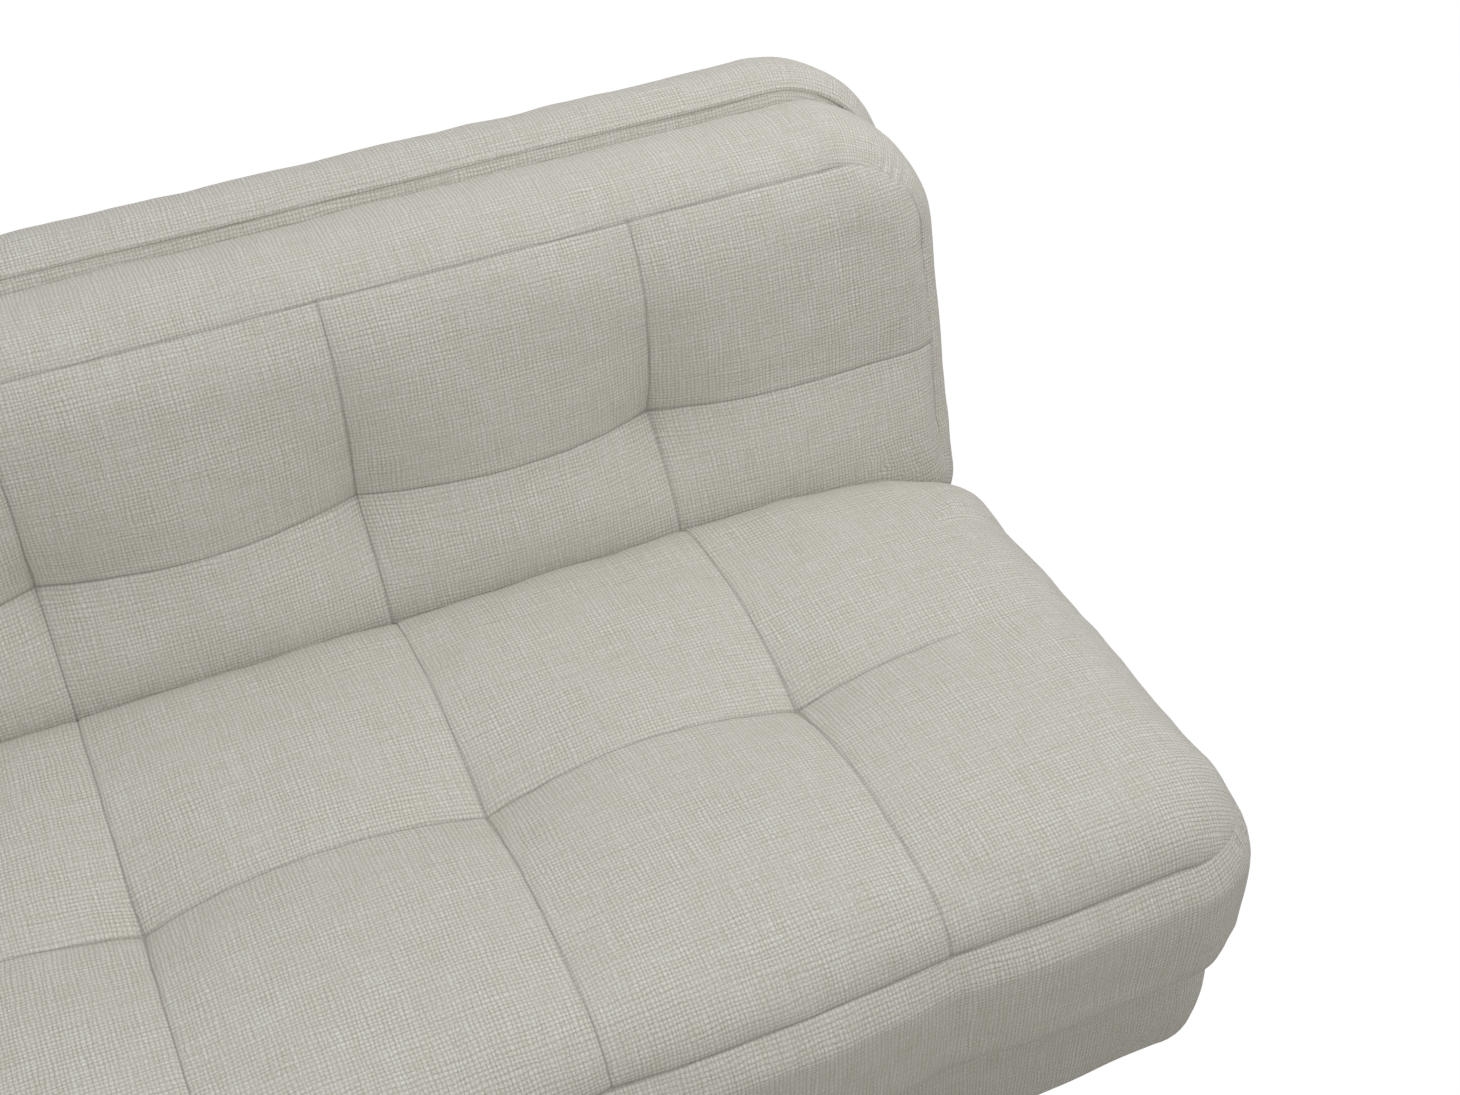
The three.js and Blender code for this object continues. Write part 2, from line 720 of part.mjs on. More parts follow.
function feet() {
  const top = footHeight - touchGap;
  const profile = [
    new THREE.Vector2(0, 0),
    new THREE.Vector2(footFoot - footChamfer, 0),
    new THREE.Vector2(footFoot, footChamfer),
    new THREE.Vector2(footRadius, top),
    new THREE.Vector2(0, top),
  ];
  const pieces = [];
  const places = [
    ['front_left', -1, -1], ['front_middle', 0, -1], ['front_right', 1, -1],
    ['rear_left', -1, 1], ['rear_middle', 0, 1], ['rear_right', 1, 1],
  ];
  for (const [name, alongX, alongY] of places) {
    const foot = new THREE.LatheGeometry(profile, roundFacets);
    foot.rotateX(Math.PI / 2);
    const y = alongY < 0 ? plinthFront + footInset : plinthRear - footInset;
    foot.translate(alongX * (plinthX - footInset), y, 0);
    pieces.push(named(`foot_${name}`, foot, 'foot'));
  }
  return pieces;
}

// The back is drawn about the hinge line: x along the sofa, y into its thickness, z up its face.

/** The slot that the hinge plates swing in, on one side, from an inner to an outer face. */
function hingeSlot(side, innerX, outerX) {
  const radius = ratchetRadius + slotDiscGap;
  const reachDown = backBelowPivot + cutOverrun;
  const reachBack = rearSwing + cutOverrun;
  const shape = new THREE.Shape();
  const meet = Math.asin(slotFront / radius);
  shape.moveTo(-slotFront, -reachDown);
  shape.lineTo(reachBack, -reachDown);
  shape.lineTo(reachBack, slotTop);
  shape.lineTo(0, slotTop);
  shape.absarc(0, 0, radius, Math.PI / 2, Math.PI * 1.5 - meet, false);
  return acrossSofa(shape, side * innerX, side * outerX, smallFacets);
}

function hingeSlots(innerX) {
  return [-1, 1].map((side) => hingeSlot(side, innerX, slotOuter));
}

function backForm() {
  const top = edge(backTopRound, backTopAngles, backTopFadeShares, topSeamPinch, backTopPinchShares);
  const bottom = edge(backBottomRound, plainAngles);
  const end = edge(backEndRound, backEndAngles, backEndFadeShares, endSeamPinch, backEndPinchShares);
  const depth = backBelowPivot + cushionAbovePivot;
  const rows = rowLines(backRowSeam, backCorner, depth, backRowShares);
  return {
    length: sofaLength,
    depth,
    height: backCushionThickness,
    corner: backCorner,
    near: bottom,
    far: top,
    end,
    xs: gridLines(-halfLength, halfLength, end, end, backCorner, quiltedLines(halfLength, backCorner)),
    ys: gridLines(0, depth, bottom, top, backCorner, rows),
    quilt: (x, y) => quiltDrop(x, y, backRowSeam, backCrossDrop),
    bulge: 0,
    drawIn: endDrawIn,
    baseRound: cushionBaseRound,
    levels: sideLevels(cushionBaseRound, wholeSideShares, plainAngles.slice(-1)),
  };
}

/** The quilted front of the back, hollowed from behind for its foam. */
function backCushion() {
  const form = paddedForm(backForm());
  form.rotateX(Math.PI / 2);
  form.translate(0, shellFrontPlane, -backBelowPivot);
  const pocket = backPocket(0, cutOverrun);
  return named('back_cushion', cut(form, [pocket, ...hingeSlots(cushionSlotInner)]), 'cover');
}

/** The hollow behind the quilted front, or with a gap the foam that fills it. */
function backPocket(gap, overrun) {
  const inset = backPocketInset + gap;
  const radius = backCorner - inset;
  const shape = roundedRectangle(
    [-halfLength + inset, -backBelowPivot + inset],
    [halfLength - inset, cushionAbovePivot - inset],
    [radius, radius, radius, radius],
  );
  const geometry = extrude(shape, backPocketDepth - gap + overrun);
  geometry.rotateX(Math.PI / 2);
  geometry.translate(0, shellFrontPlane + overrun, 0);
  return geometry;
}

function backFoam() {
  const foam = backPocket(touchGap, 0);
  return named('back_foam', cut(foam, hingeSlots(cushionSlotInner)), 'foam');
}

function shellForm() {
  const round = edge(shellRearRound, plainAngles);
  const depth = backBelowPivot + shellAbovePivot;
  const rows = shellRowShares.map((share) => lerp(shellCorner, depth - shellCorner, share));
  return {
    length: sofaLength,
    depth,
    height: backThickness - backCushionThickness - touchGap,
    corner: shellCorner,
    near: round,
    far: round,
    end: round,
    xs: gridLines(-halfLength, halfLength, round, round, shellCorner, columnSeams),
    ys: gridLines(0, depth, round, round, shellCorner, rows),
    quilt: () => 0,
    bulge: 0,
    drawIn: endDrawIn,
    baseRound: shellFrontRound,
    levels: sideLevels(shellFrontRound, wholeSideShares, baseAngles),
  };
}

/** The padded rear layer of the back, open in front over its frame. */
function backShell() {
  const form = paddedForm(shellForm());
  form.scale(1, -1, 1);
  const faced = weld(form);
  faced.rotateX(-Math.PI / 2);
  faced.translate(0, shellFrontPlane + touchGap, -backBelowPivot);
  const pocket = shellPocket(0, cutOverrun);
  return named('back_shell', cut(faced, [pocket, ...hingeSlots(stileOuterX)]), 'cover');
}

/** The hollow in the rear layer, or with a gap the filling that fits it. */
function shellPocket(gap, overrun) {
  const inset = shellFrontRound + shellPocketMargin + gap;
  const radius = shellCorner - inset;
  const shape = roundedRectangle(
    [-halfLength + inset, -backBelowPivot + inset],
    [halfLength - inset, shellAbovePivot - inset],
    [radius, radius, radius, radius],
  );
  const low = shellFrontPlane + touchGap - overrun;
  const high = rearSwing - shellRearWall - gap;
  const geometry = extrude(shape, high - low);
  geometry.rotateX(Math.PI / 2);
  geometry.translate(0, high, 0);
  return geometry;
}

const frameFront = shellFrontPlane + 2 * touchGap;
const frameRear = frameFront + backFrameDepth;

/** The back's timber frame as lowest and highest corners, by name. */
function backFrameBoxes() {
  const betweenLow = backFrameFoot + backRailWidth + touchGap;
  const betweenHigh = backFrameTop - backRailWidth - touchGap;
  const stileInner = stileOuterX - stileWidth;
  const railX = stileInner - touchGap;
  const board = (fromX, toX, fromZ, toZ) => [[fromX, frameFront, fromZ], [toX, frameRear, toZ]];
  return {
    back_left_stile: board(-stileOuterX, -stileInner, backFrameFoot, backFrameTop),
    back_right_stile: board(stileInner, stileOuterX, backFrameFoot, backFrameTop),
    back_middle_stile: board(-stileWidth / 2, stileWidth / 2, betweenLow, betweenHigh),
    back_bottom_rail: board(-railX, railX, backFrameFoot, backFrameFoot + backRailWidth),
    back_top_rail: board(-railX, railX, backFrameTop - backRailWidth, backFrameTop),
  };
}

const armBoltY = (armInner + armOuter) / 2;

function armBoltHoles(side) {
  return armBoltHeights.map((z) => turned(side, armBoltY, z, [
    [stileOuterX - armBoltLength - boreGap, 0],
    [stileOuterX - armBoltLength - boreGap, boltRadius + boreGap],
    [armOuterX + cutOverrun, boltRadius + boreGap],
    [armOuterX + cutOverrun, 0],
  ], smallFacets));
}

function backFrame() {
  return Object.entries(backFrameBoxes()).map(([name, [low, high]]) => {
    const plain = block(low, high);
    if (name === 'back_left_stile') return named(name, cut(plain, armBoltHoles(-1)), 'timber');
    if (name === 'back_right_stile') return named(name, cut(plain, armBoltHoles(1)), 'timber');
    return named(name, plain, 'timber');
  });
}

/** The filling of the rear layer, with room for the frame and the hinge arms. */
function backFilling() {
  const cutters = Object.values(backFrameBoxes()).map(([low, high]) => block(
    [low[0] - touchGap, low[1] - cutOverrun, low[2] - touchGap],
    [high[0] + touchGap, high[1] + touchGap, high[2] + touchGap],
  ));
  for (const side of [-1, 1]) {
    const ends = [side * (stileOuterX - touchGap), side * slotOuter].sort((a, b) => a - b);
    cutters.push(block(
      [ends[0], frameFront - cutOverrun, slotTop - cutOverrun],
      [ends[1], armOuter + touchGap, armTop + touchGap],
    ));
  }
  cutters.push(...hingeSlots(stileOuterX));
  return named('back_filling', cut(shellPocket(touchGap, -touchGap), cutters), 'foam');
}

// The hinge plates, drawn in (y, z) about the hinge line

/** Stations of a bore through both hinge plates. */
function borePlace(radius) {
  return [
    [armInnerX - cutOverrun, 0],
    [armInnerX - cutOverrun, radius + boreGap],
    [bracketOuterX + cutOverrun, radius + boreGap],
    [bracketOuterX + cutOverrun, 0],
  ];
}

/** A notch in the ratchet's rim at an angle, a little wider at its mouth. */
function notch(side, angle) {
  const depth = notchDepth + cutOverrun;
  const mouth = notchWidth / 2;
  const root = mouth - notchTaper;
  const shape = new THREE.Shape([
    new THREE.Vector2(0, -root),
    new THREE.Vector2(depth, -mouth),
    new THREE.Vector2(depth, mouth),
    new THREE.Vector2(0, root),
  ]);
  const geometry = acrossSofa(shape, side * (armInnerX - cutOverrun), side * (armOuterX + cutOverrun));
  geometry.translate(0, ratchetRadius - notchDepth, 0);
  geometry.rotateX(angle);
  return geometry;
}

/** The steel arm on a stile, with the ratchet that the pawl drops into. */
function hingeArm(side) {
  const shape = new THREE.Shape();
  const heelTurn = Math.asin(armHeel / ratchetRadius);
  shape.absarc(0, 0, ratchetRadius, Math.PI / 2, Math.PI * 2 + heelTurn, false);
  shape.lineTo(armOuter, armHeel);
  shape.lineTo(armOuter, armTop);
  shape.lineTo(armInner, armTop);
  shape.lineTo(armInner, armCrook);
  shape.lineTo(0, armCrook);
  const plate = acrossSofa(shape, side * armInnerX, side * armOuterX, ratchetFacets);
  const cutters = notchTurns.map((turn) => notch(side, pawlAngle + recline + turn));
  cutters.push(turned(side, 0, 0, borePlace(pivotRadius), roundFacets));
  cutters.push(...armBoltHoles(side));
  return cut(plate, cutters);
}

/** The fixed plate that carries the hinge bolt and the pawl, bolted inside the plinth. */
function hingeBracket(side) {
  const foot = bracketFoot - pivotZ;
  const shape = new THREE.Shape();
  shape.moveTo(bracketHalfWidth, foot);
  shape.lineTo(bracketHalfWidth, 0);
  shape.absarc(0, 0, bracketHalfWidth, 0, Math.PI, false);
  shape.lineTo(-bracketHalfWidth, foot);
  const plate = acrossSofa(shape, side * bracketInnerX, side * bracketOuterX, smallFacets);
  const cutters = [
    turned(side, 0, 0, borePlace(pivotRadius), roundFacets),
    turned(side, pawlPinY, pawlPinZ, borePlace(pinRadius), smallFacets),
  ];
  for (const z of bracketBoltHeights) {
    cutters.push(turned(side, 0, z - pivotZ, borePlace(boltRadius), smallFacets));
  }
  return cut(plate, cutters);
}

// The pawl rides clear of the ratchet's rim. Its nose points at the hinge line and its pin lies
// on the tangent at the nose.
const tipRadius = ratchetRadius + tipClearance;
const pawlPinY = tipRadius * Math.cos(pawlAngle) - pawlLength * Math.sin(pawlAngle);
const pawlPinZ = tipRadius * Math.sin(pawlAngle) + pawlLength * Math.cos(pawlAngle);

/** Turns a shape drawn with the pawl's pin at its origin and the nose up at -x into place. */
function atPawlPin(geometry) {
  geometry.rotateX(pawlAngle + Math.PI / 2);
  geometry.translate(0, pawlPinY, pawlPinZ);
  return geometry;
}

function pawl(side) {
  const half = pawlWidth / 2;
  const noseTip = pawlTipWidth / 2;
  const noseRoot = pawlRootWidth / 2;
  const noseDrop = notchDepth + tipClearance;
  const shape = new THREE.Shape([
    new THREE.Vector2(0, -half),
    new THREE.Vector2(0, half),
    new THREE.Vector2(-pawlLength + noseRoot, -noseDrop),
    new THREE.Vector2(-pawlLength + noseTip, 0),
    new THREE.Vector2(-pawlLength - noseTip, 0),
    new THREE.Vector2(-pawlLength - noseRoot, -noseDrop),
    new THREE.Vector2(-pawlLength - noseRoot, -noseDrop - pawlEndWidth),
  ]);
  const hub = new THREE.Shape().absarc(0, 0, pawlHubRadius, 0, Math.PI * 2, false);
  const faces = [side * armInnerX, side * armOuterX];
  const bar = toSolid(acrossSofa(shape, ...faces));
  const joined = toGeometry(bar.add(toSolid(acrossSofa(hub, ...faces))));
  const bore = turned(side, 0, 0, borePlace(pinRadius), smallFacets);
  return atPawlPin(cut(joined, [bore]));
}

/** The leaf spring on the bracket that lifts the pawl's nose into the ratchet. */
function pawlSpring(side) {
  const under = -pawlWidth / 2 - tipClearance;
  const slope = (notchDepth + pawlEndWidth + tipClearance - pawlWidth / 2) / pawlLength;
  const touchZ = under - slope * springReach;
  const shape = new THREE.Shape([
    new THREE.Vector2(pawlHubRadius, -springDrop),
    new THREE.Vector2(-springFootLength, -springDrop),
    new THREE.Vector2(-springReach, touchZ),
    new THREE.Vector2(-springReach - springThickness, touchZ - springThickness),
    new THREE.Vector2(-springFootLength - springThickness, -springDrop - springThickness),
    new THREE.Vector2(pawlHubRadius, -springDrop - springThickness),
  ]);
  const outer = bracketInnerX - touchGap;
  return atPawlPin(acrossSofa(shape, side * (outer - springWidth), side * outer));
}

function pivotBolt(side) {
  const nut = armInnerX - touchGap;
  const head = bracketOuterX + touchGap;
  return turned(side, 0, 0, [
    [nut - pivotHeadHeight, 0],
    [nut - pivotHeadHeight, pivotHeadRadius],
    [nut, pivotHeadRadius],
    [nut, pivotRadius],
    [head, pivotRadius],
    [head, pivotHeadRadius],
    [head + pivotHeadHeight, pivotHeadRadius],
    [head + pivotHeadHeight, 0],
  ], smallFacets);
}

function pawlPin(side) {
  const head = bracketOuterX + touchGap;
  return turned(side, pawlPinY, pawlPinZ, [
    [armInnerX, 0],
    [armInnerX, pinRadius],
    [head, pinRadius],
    [head, pinHeadRadius],
    [head + pinHeadHeight, pinHeadRadius],
    [head + pinHeadHeight, 0],
  ], smallFacets);
}

/** A headed bolt along x: its head lies on one side of a face and its shank on the other. */
function bolt(side, y, z, face, direction, length) {
  return turned(side, y, z, [
    [face - direction * boltHeadHeight, 0],
    [face - direction * boltHeadHeight, boltHeadRadius],
    [face, boltHeadRadius],
    [face, boltRadius],
    [face + direction * length, boltRadius],
    [face + direction * length, 0],
  ], smallFacets);
}

/** The hinge pieces that stay with the base. */
function fixedHinge(name, side) {
  const pieces = [
    named(`hinge_bracket_${name}`, hingeBracket(side), 'steel'),
    named(`pivot_bolt_${name}`, pivotBolt(side), 'bolt'),
    named(`pawl_${name}`, pawl(side), 'bolt'),
    named(`pawl_pin_${name}`, pawlPin(side), 'bolt'),
    named(`pawl_spring_${name}`, pawlSpring(side), 'bolt'),
  ];
  const face = bracketInnerX - touchGap;
  const length = touchGap + plateThickness + touchGap + bracketBoltLength;
  bracketBoltHeights.forEach((height, n) => {
    const piece = bolt(side, 0, height - pivotZ, face, 1, length);
    pieces.push(named(`bracket_bolt_${name}_${n + 1}`, piece, 'bolt'));
  });
  return pieces;
}

/** The hinge pieces that swing with the back. */
function swingingHinge(name, side) {
  const pieces = [named(`hinge_arm_${name}`, hingeArm(side), 'steel')];
  const face = armOuterX + touchGap;
  const length = touchGap + plateThickness + touchGap + armBoltLength;
  armBoltHeights.forEach((height, n) => {
    const piece = bolt(side, armBoltY, height, face, -1, length);
    pieces.push(named(`arm_bolt_${name}_${n + 1}`, piece, 'bolt'));
  });
  return pieces;
}

const base = new THREE.Group();
base.add(...feet(), ...plinthBoards(), ...plinthPads(), ...seatFrame(), seatCushion());

const fixedHinges = new THREE.Group();
fixedHinges.position.set(0, pivotY, pivotZ);
fixedHinges.add(...fixedHinge('left', -1), ...fixedHinge('right', 1));

const back = new THREE.Group();
back.position.set(0, pivotY, pivotZ);
back.rotation.x = -recline;
back.add(...backFrame(), backFilling(), backFoam(), backCushion(), backShell());
back.add(...swingingHinge('left', -1), ...swingingHinge('right', 1));

const sofa = new THREE.Group();
sofa.add(base, fixedHinges, back);
export default sofa;
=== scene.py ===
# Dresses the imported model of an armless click-clack sofa bed: quilted linen covers over the seat
# and the back, a wrapped plinth, smooth feet, and a finish for every board and hinge plate.
# Metres, +Z up, +X along the sofa, the front towards -Y.

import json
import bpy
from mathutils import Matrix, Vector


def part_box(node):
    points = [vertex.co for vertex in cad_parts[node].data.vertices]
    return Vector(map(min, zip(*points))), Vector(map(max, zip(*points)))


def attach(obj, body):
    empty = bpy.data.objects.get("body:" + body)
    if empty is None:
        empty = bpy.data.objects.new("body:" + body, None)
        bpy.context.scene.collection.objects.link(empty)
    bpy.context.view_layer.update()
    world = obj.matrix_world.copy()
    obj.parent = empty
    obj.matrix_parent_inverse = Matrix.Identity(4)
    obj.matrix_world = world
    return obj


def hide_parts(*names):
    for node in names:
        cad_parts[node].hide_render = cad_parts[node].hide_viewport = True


bl_info = {
    "name": "Click Clack Sofa Bed",
    "version": (1, 0, 0),
    "blender": (4, 5, 0),
    "location": "3D View > Sidebar > Sofa Bed",
    "description": "Dresses the frame of a click-clack sofa bed with quilted linen covers",
    "category": "Object",
}

from math import asin, cos, pi, radians, sin

import bpy
import numpy as np
from bpy.props import FloatProperty, FloatVectorProperty, IntProperty, PointerProperty
from mathutils import Vector

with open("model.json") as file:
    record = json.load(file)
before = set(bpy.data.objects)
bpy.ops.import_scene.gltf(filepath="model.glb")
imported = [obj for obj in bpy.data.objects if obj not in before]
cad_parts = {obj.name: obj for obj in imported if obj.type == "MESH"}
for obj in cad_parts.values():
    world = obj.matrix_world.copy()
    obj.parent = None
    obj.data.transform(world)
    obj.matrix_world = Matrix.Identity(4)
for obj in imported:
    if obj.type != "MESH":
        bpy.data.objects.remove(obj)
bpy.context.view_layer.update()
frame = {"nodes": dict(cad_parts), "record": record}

RIGHT_ANGLE = pi / 2
RECLINE = radians(17)

# The rings of a padded form that its seam and its base run on, counted outwards from its flat top
SEAM_RING = 2.0
BASE_RING = 4
# How far the ends of a padded form are drawn in at half its depth
END_DRAW_IN = 0.004
# How much less a seam pinches half-way round a corner
CORNER_PINCH_LOSS = 0.9
# How close to a seam the stitches hold the cloth, and how far its narrow valley reaches
SEAM_GRIP = 0.002
STITCH_REACH = 0.0023

# How much more the rear corners ease than the front ones
REAR_EASE = 1.6
# The corners that slope down: where they start from the end, and over what length
SLOPE_START = 0.24
SLOPE_LENGTH = 0.2
# The rear strip that drops: its depth, and the part of it over which it does
REAR_STRIP = 0.11
REAR_STRIP_FALL = 0.1
# The band along the near edge that swells: its middle, and half its width
SWELL_MIDDLE = 0.14
SWELL_HALF_WIDTH = 0.1

# The waves of the stuffing: long ones, short ones, and how high the short ones are beside the long
LONG_WAVE = 0.13
SHORT_WAVE = 0.05
SHORT_WAVE_SHARE = 0.35
# The gathers beside a seam: their length, how far apart they come and go, and their reach
GATHER_LENGTH = 0.021
GATHER_DRIFT = 0.16
GATHER_REACH = 0.014
# The folds at a corner: their distance, how far under the seam they lie, and over what height
FOLD_PITCH = 0.015
FOLD_BELOW = 0.010
FOLD_REACH = 0.013
# Over what length the seam along a form fades out at its end
SEAM_FADE = 0.06

# The middle height of a yarn over a plain weave, at which the cloth keeps its colour; below it the
# cloth gets painted shade and above it a painted highlight
MIDDLE_YARN = 0.71
# How bright the cloth is at that height
CLOTH_TONE = 1.02
# How far a seam's line darkens, and the share of the cloth's colour that it goes to
SEAM_LINE_SHARE = 0.55
SEAM_LINE_TONE = 0.30

# How a foot's lower edge is rounded: pairs of distance in from its side and height
FOOT_LOWER_EDGE = ((0.006, 0.0), (0.003, 0.0008), (0.001, 0.003), (0.0, 0.006))
# The same for its upper edge, the height counted down from its top
FOOT_UPPER_EDGE = ((0.0006, 0.004), (0.0002, 0.002), (0.001, 0.0))
# Half the side of the floor
FLOOR_HALF = 14.0


class SofaQuilting(bpy.types.PropertyGroup):
    """The sewn channels that the seat and the back share."""

    seam_pitch: FloatProperty(
        name="Seam Pitch", description="Distance between column seams", default=0.31, unit="LENGTH")
    seams_per_side: IntProperty(
        name="Seams Per Side", description="Column seams either side of the middle one", default=2)
    seat_cross_drop: FloatProperty(
        name="Seat Crossing Depth", description="How deep crossing seams draw the seat down",
        default=0.032, unit="LENGTH")
    back_cross_drop: FloatProperty(
        name="Back Crossing Depth", description="How deep crossing seams draw the back in",
        default=0.044, unit="LENGTH")
    seam_drop: FloatProperty(
        name="Channel Depth", description="How deep one seam draws the cover down",
        default=0.005, unit="LENGTH")
    cross_reach: FloatProperty(
        name="Crossing Reach", description="How far a crossing's dip reaches", default=0.17,
        unit="LENGTH")
    groove_reach: FloatProperty(
        name="Channel Reach", description="How far a channel's dip reaches", default=0.095,
        unit="LENGTH")
    crown: FloatProperty(
        name="Crown", description="How far the front row of the seat swells", default=0.010,
        unit="LENGTH")
    stitch_depth: FloatProperty(
        name="Stitch Depth", description="Depth of the narrow valley along a seam",
        default=0.0012, unit="LENGTH")
    mark_width: FloatProperty(
        name="Seam Width", description="Width of the dark line along a seam",
        default=0.00085, unit="LENGTH")
    pucker: FloatProperty(
        name="Pucker", description="Height of the small gathers beside a seam",
        default=0.0009, unit="LENGTH")
    gathers: FloatProperty(
        name="Gathers", description="Height of the small folds at the corners", default=0.0016,
        unit="LENGTH")
    unevenness: FloatProperty(
        name="Unevenness", description="Height of the slow waves in the stuffing",
        default=0.0012, unit="LENGTH")


class SofaStuffing(bpy.types.PropertyGroup):
    """How the stuffing presses the sewn covers out."""

    pressure: FloatProperty(
        name="Pressure", description="Pressure of the stuffing in the cloth simulation", default=4.0)
    frames: IntProperty(
        name="Frames", description="Frames that the cloth simulation runs for", default=20)
    most: FloatProperty(
        name="Most Movement", description="How far the stuffing may move the cloth",
        default=0.024, unit="LENGTH")
    slack: FloatProperty(
        name="Slack", description="Share by which the cloth is cut larger than its form",
        default=0.02)
    share: FloatProperty(
        name="Share Kept", description="How much of the simulated movement the top keeps",
        default=0.36)
    edge_share: FloatProperty(
        name="Edge Share", description="How much of the simulated movement the edges keep",
        default=0.12)
    smoothing: IntProperty(
        name="Smoothing", description="How often the simulated movement is evened out", default=2)


class SofaSeat(bpy.types.PropertyGroup):
    """The seat cushion."""

    length: FloatProperty(
        name="Length", description="Length of the seat", default=1.920, unit="LENGTH")
    depth: FloatProperty(
        name="Depth", description="Depth of the seat", default=0.567, unit="LENGTH")
    height: FloatProperty(
        name="Height", description="Thickness of the seat", default=0.228, unit="LENGTH")
    crease_gap: FloatProperty(
        name="Crease Gap", description="Gap to the back when it lies level", default=0.008,
        unit="LENGTH")
    corner_ease: FloatProperty(
        name="Corner Ease", description="How far the front corners swell out and the rear ones lie in",
        default=0.008, unit="LENGTH")
    rear_corner_sink: FloatProperty(
        name="Rear Corner Sink", description="How far the rear corners slope down", default=0.024,
        unit="LENGTH")
    rear_drop: FloatProperty(
        name="Rear Drop", description="How far the rear edge lies below the seat", default=0.012,
        unit="LENGTH")
    rear_reach: FloatProperty(
        name="Rear Reach", description="How far the rear pillows press towards the back",
        default=0.003, unit="LENGTH")
    rear_lean: FloatProperty(
        name="Rear Lean", description="How far the rear edge swells against the back",
        default=0.020, unit="LENGTH")
    corner: FloatProperty(
        name="Corner", description="Radius of the corners in plan", default=0.110, unit="LENGTH")
    rear_corner: FloatProperty(
        name="Rear Corner", description="Radius of the rear corners in plan", default=0.050,
        unit="LENGTH")
    front_round: FloatProperty(
        name="Front Rounding", description="Radius of the front edge", default=0.072, unit="LENGTH")
    rear_round: FloatProperty(
        name="Rear Rounding", description="Radius of the rear edge", default=0.045, unit="LENGTH")
    end_round: FloatProperty(
        name="End Rounding", description="Radius of the ends", default=0.105, unit="LENGTH")
    base_round: FloatProperty(
        name="Base Rounding", description="Radius under the boxing", default=0.056, unit="LENGTH")
    belly: FloatProperty(
        name="Belly", description="How far the boxing swells out over the plinth", default=0.010,
        unit="LENGTH")
    row_seam: FloatProperty(
        name="Row Seam", description="From the front edge to the seam along the seat",
        default=0.313, unit="LENGTH")
    bulge: FloatProperty(
        name="Bulge", description="How far the front swells between seams", default=0.009,
        unit="LENGTH")
    seam_angle: FloatProperty(
        name="Seam Angle", description="Height of the ring seam round the edge",
        default=radians(26), subtype="ANGLE")


class SofaBack(bpy.types.PropertyGroup):
    """The quilted front of the back and the plain layer behind it."""

    length: FloatProperty(
        name="Length", description="Length of the back", default=1.930, unit="LENGTH")
    face: FloatProperty(
        name="Face", description="How far the face lies ahead of the hinge line", default=0.080,
        unit="LENGTH")
    corner: FloatProperty(
        name="Corner", description="Radius of the corners", default=0.135, unit="LENGTH")
    top_round: FloatProperty(
        name="Top Rounding", description="Radius of the top edge", default=0.105, unit="LENGTH")
    bottom_round: FloatProperty(
        name="Bottom Rounding", description="Radius of the bottom edge", default=0.060,
        unit="LENGTH")
    end_round: FloatProperty(
        name="End Rounding", description="Radius of the ends", default=0.070, unit="LENGTH")
    base_round: FloatProperty(
        name="Hem Rounding", description="Radius where the cover turns behind", default=0.003,
        unit="LENGTH")
    thickness: FloatProperty(
        name="Cushion Thickness", description="Thickness of the quilted front", default=0.120,
        unit="LENGTH")
    row_seam: FloatProperty(
        name="Row Seam", description="From the bottom edge to the seam along the back",
        default=0.222, unit="LENGTH")
    below_pivot: FloatProperty(
        name="Below Pivot", description="How far the back reaches below the hinge line",
        default=0.080, unit="LENGTH")
    cushion_above: FloatProperty(
        name="Cushion Above Pivot", description="Height of the quilted front over the hinge line",
        default=0.400, unit="LENGTH")
    shell_above: FloatProperty(
        name="Shell Above Pivot", description="Height of the rear layer over the hinge line",
        default=0.436, unit="LENGTH")
    total_thickness: FloatProperty(
        name="Back Thickness", description="Thickness of the whole back", default=0.222,
        unit="LENGTH")
    shell_corner: FloatProperty(
        name="Shell Corner", description="Radius of the rear layer's corners", default=0.142,
        unit="LENGTH")
    low_swell: FloatProperty(
        name="Low Swell", description="How far the band over the seat swells out", default=0.005,
        unit="LENGTH")
    low_corner: FloatProperty(
        name="Low Corner", description="Radius of the corners beside the seat", default=0.060,
        unit="LENGTH")
    shell_rear_round: FloatProperty(
        name="Shell Rear Rounding", description="Radius of the rear edge", default=0.050,
        unit="LENGTH")
    shell_front_round: FloatProperty(
        name="Shell Front Rounding", description="Radius of the front edge", default=0.040,
        unit="LENGTH")
    top_pinch: FloatProperty(
        name="Top Pinch", description="How far the top seam draws the edge in", default=0.004,
        unit="LENGTH")
    end_pinch: FloatProperty(
        name="End Pinch", description="How far the end seam draws the edge in", default=0.006,
        unit="LENGTH")
    piping: FloatProperty(
        name="Piping", description="Radius of the rolled edge where the two layers meet",
        default=0.0038, unit="LENGTH")
    piping_behind: FloatProperty(
        name="Piping Behind", description="Gap between the quilted front and the rolled edge",
        default=0.0012, unit="LENGTH")
    top_seam_angle: FloatProperty(
        name="Top Seam Angle", description="Place of the seam round the top edge",
        default=radians(55.5), subtype="ANGLE")
    end_seam_angle: FloatProperty(
        name="End Seam Angle", description="Place of the seam round the ends",
        default=radians(54), subtype="ANGLE")
    touch_gap: FloatProperty(
        name="Touch Gap", description="Gap between the two layers", default=0.0003, unit="LENGTH")


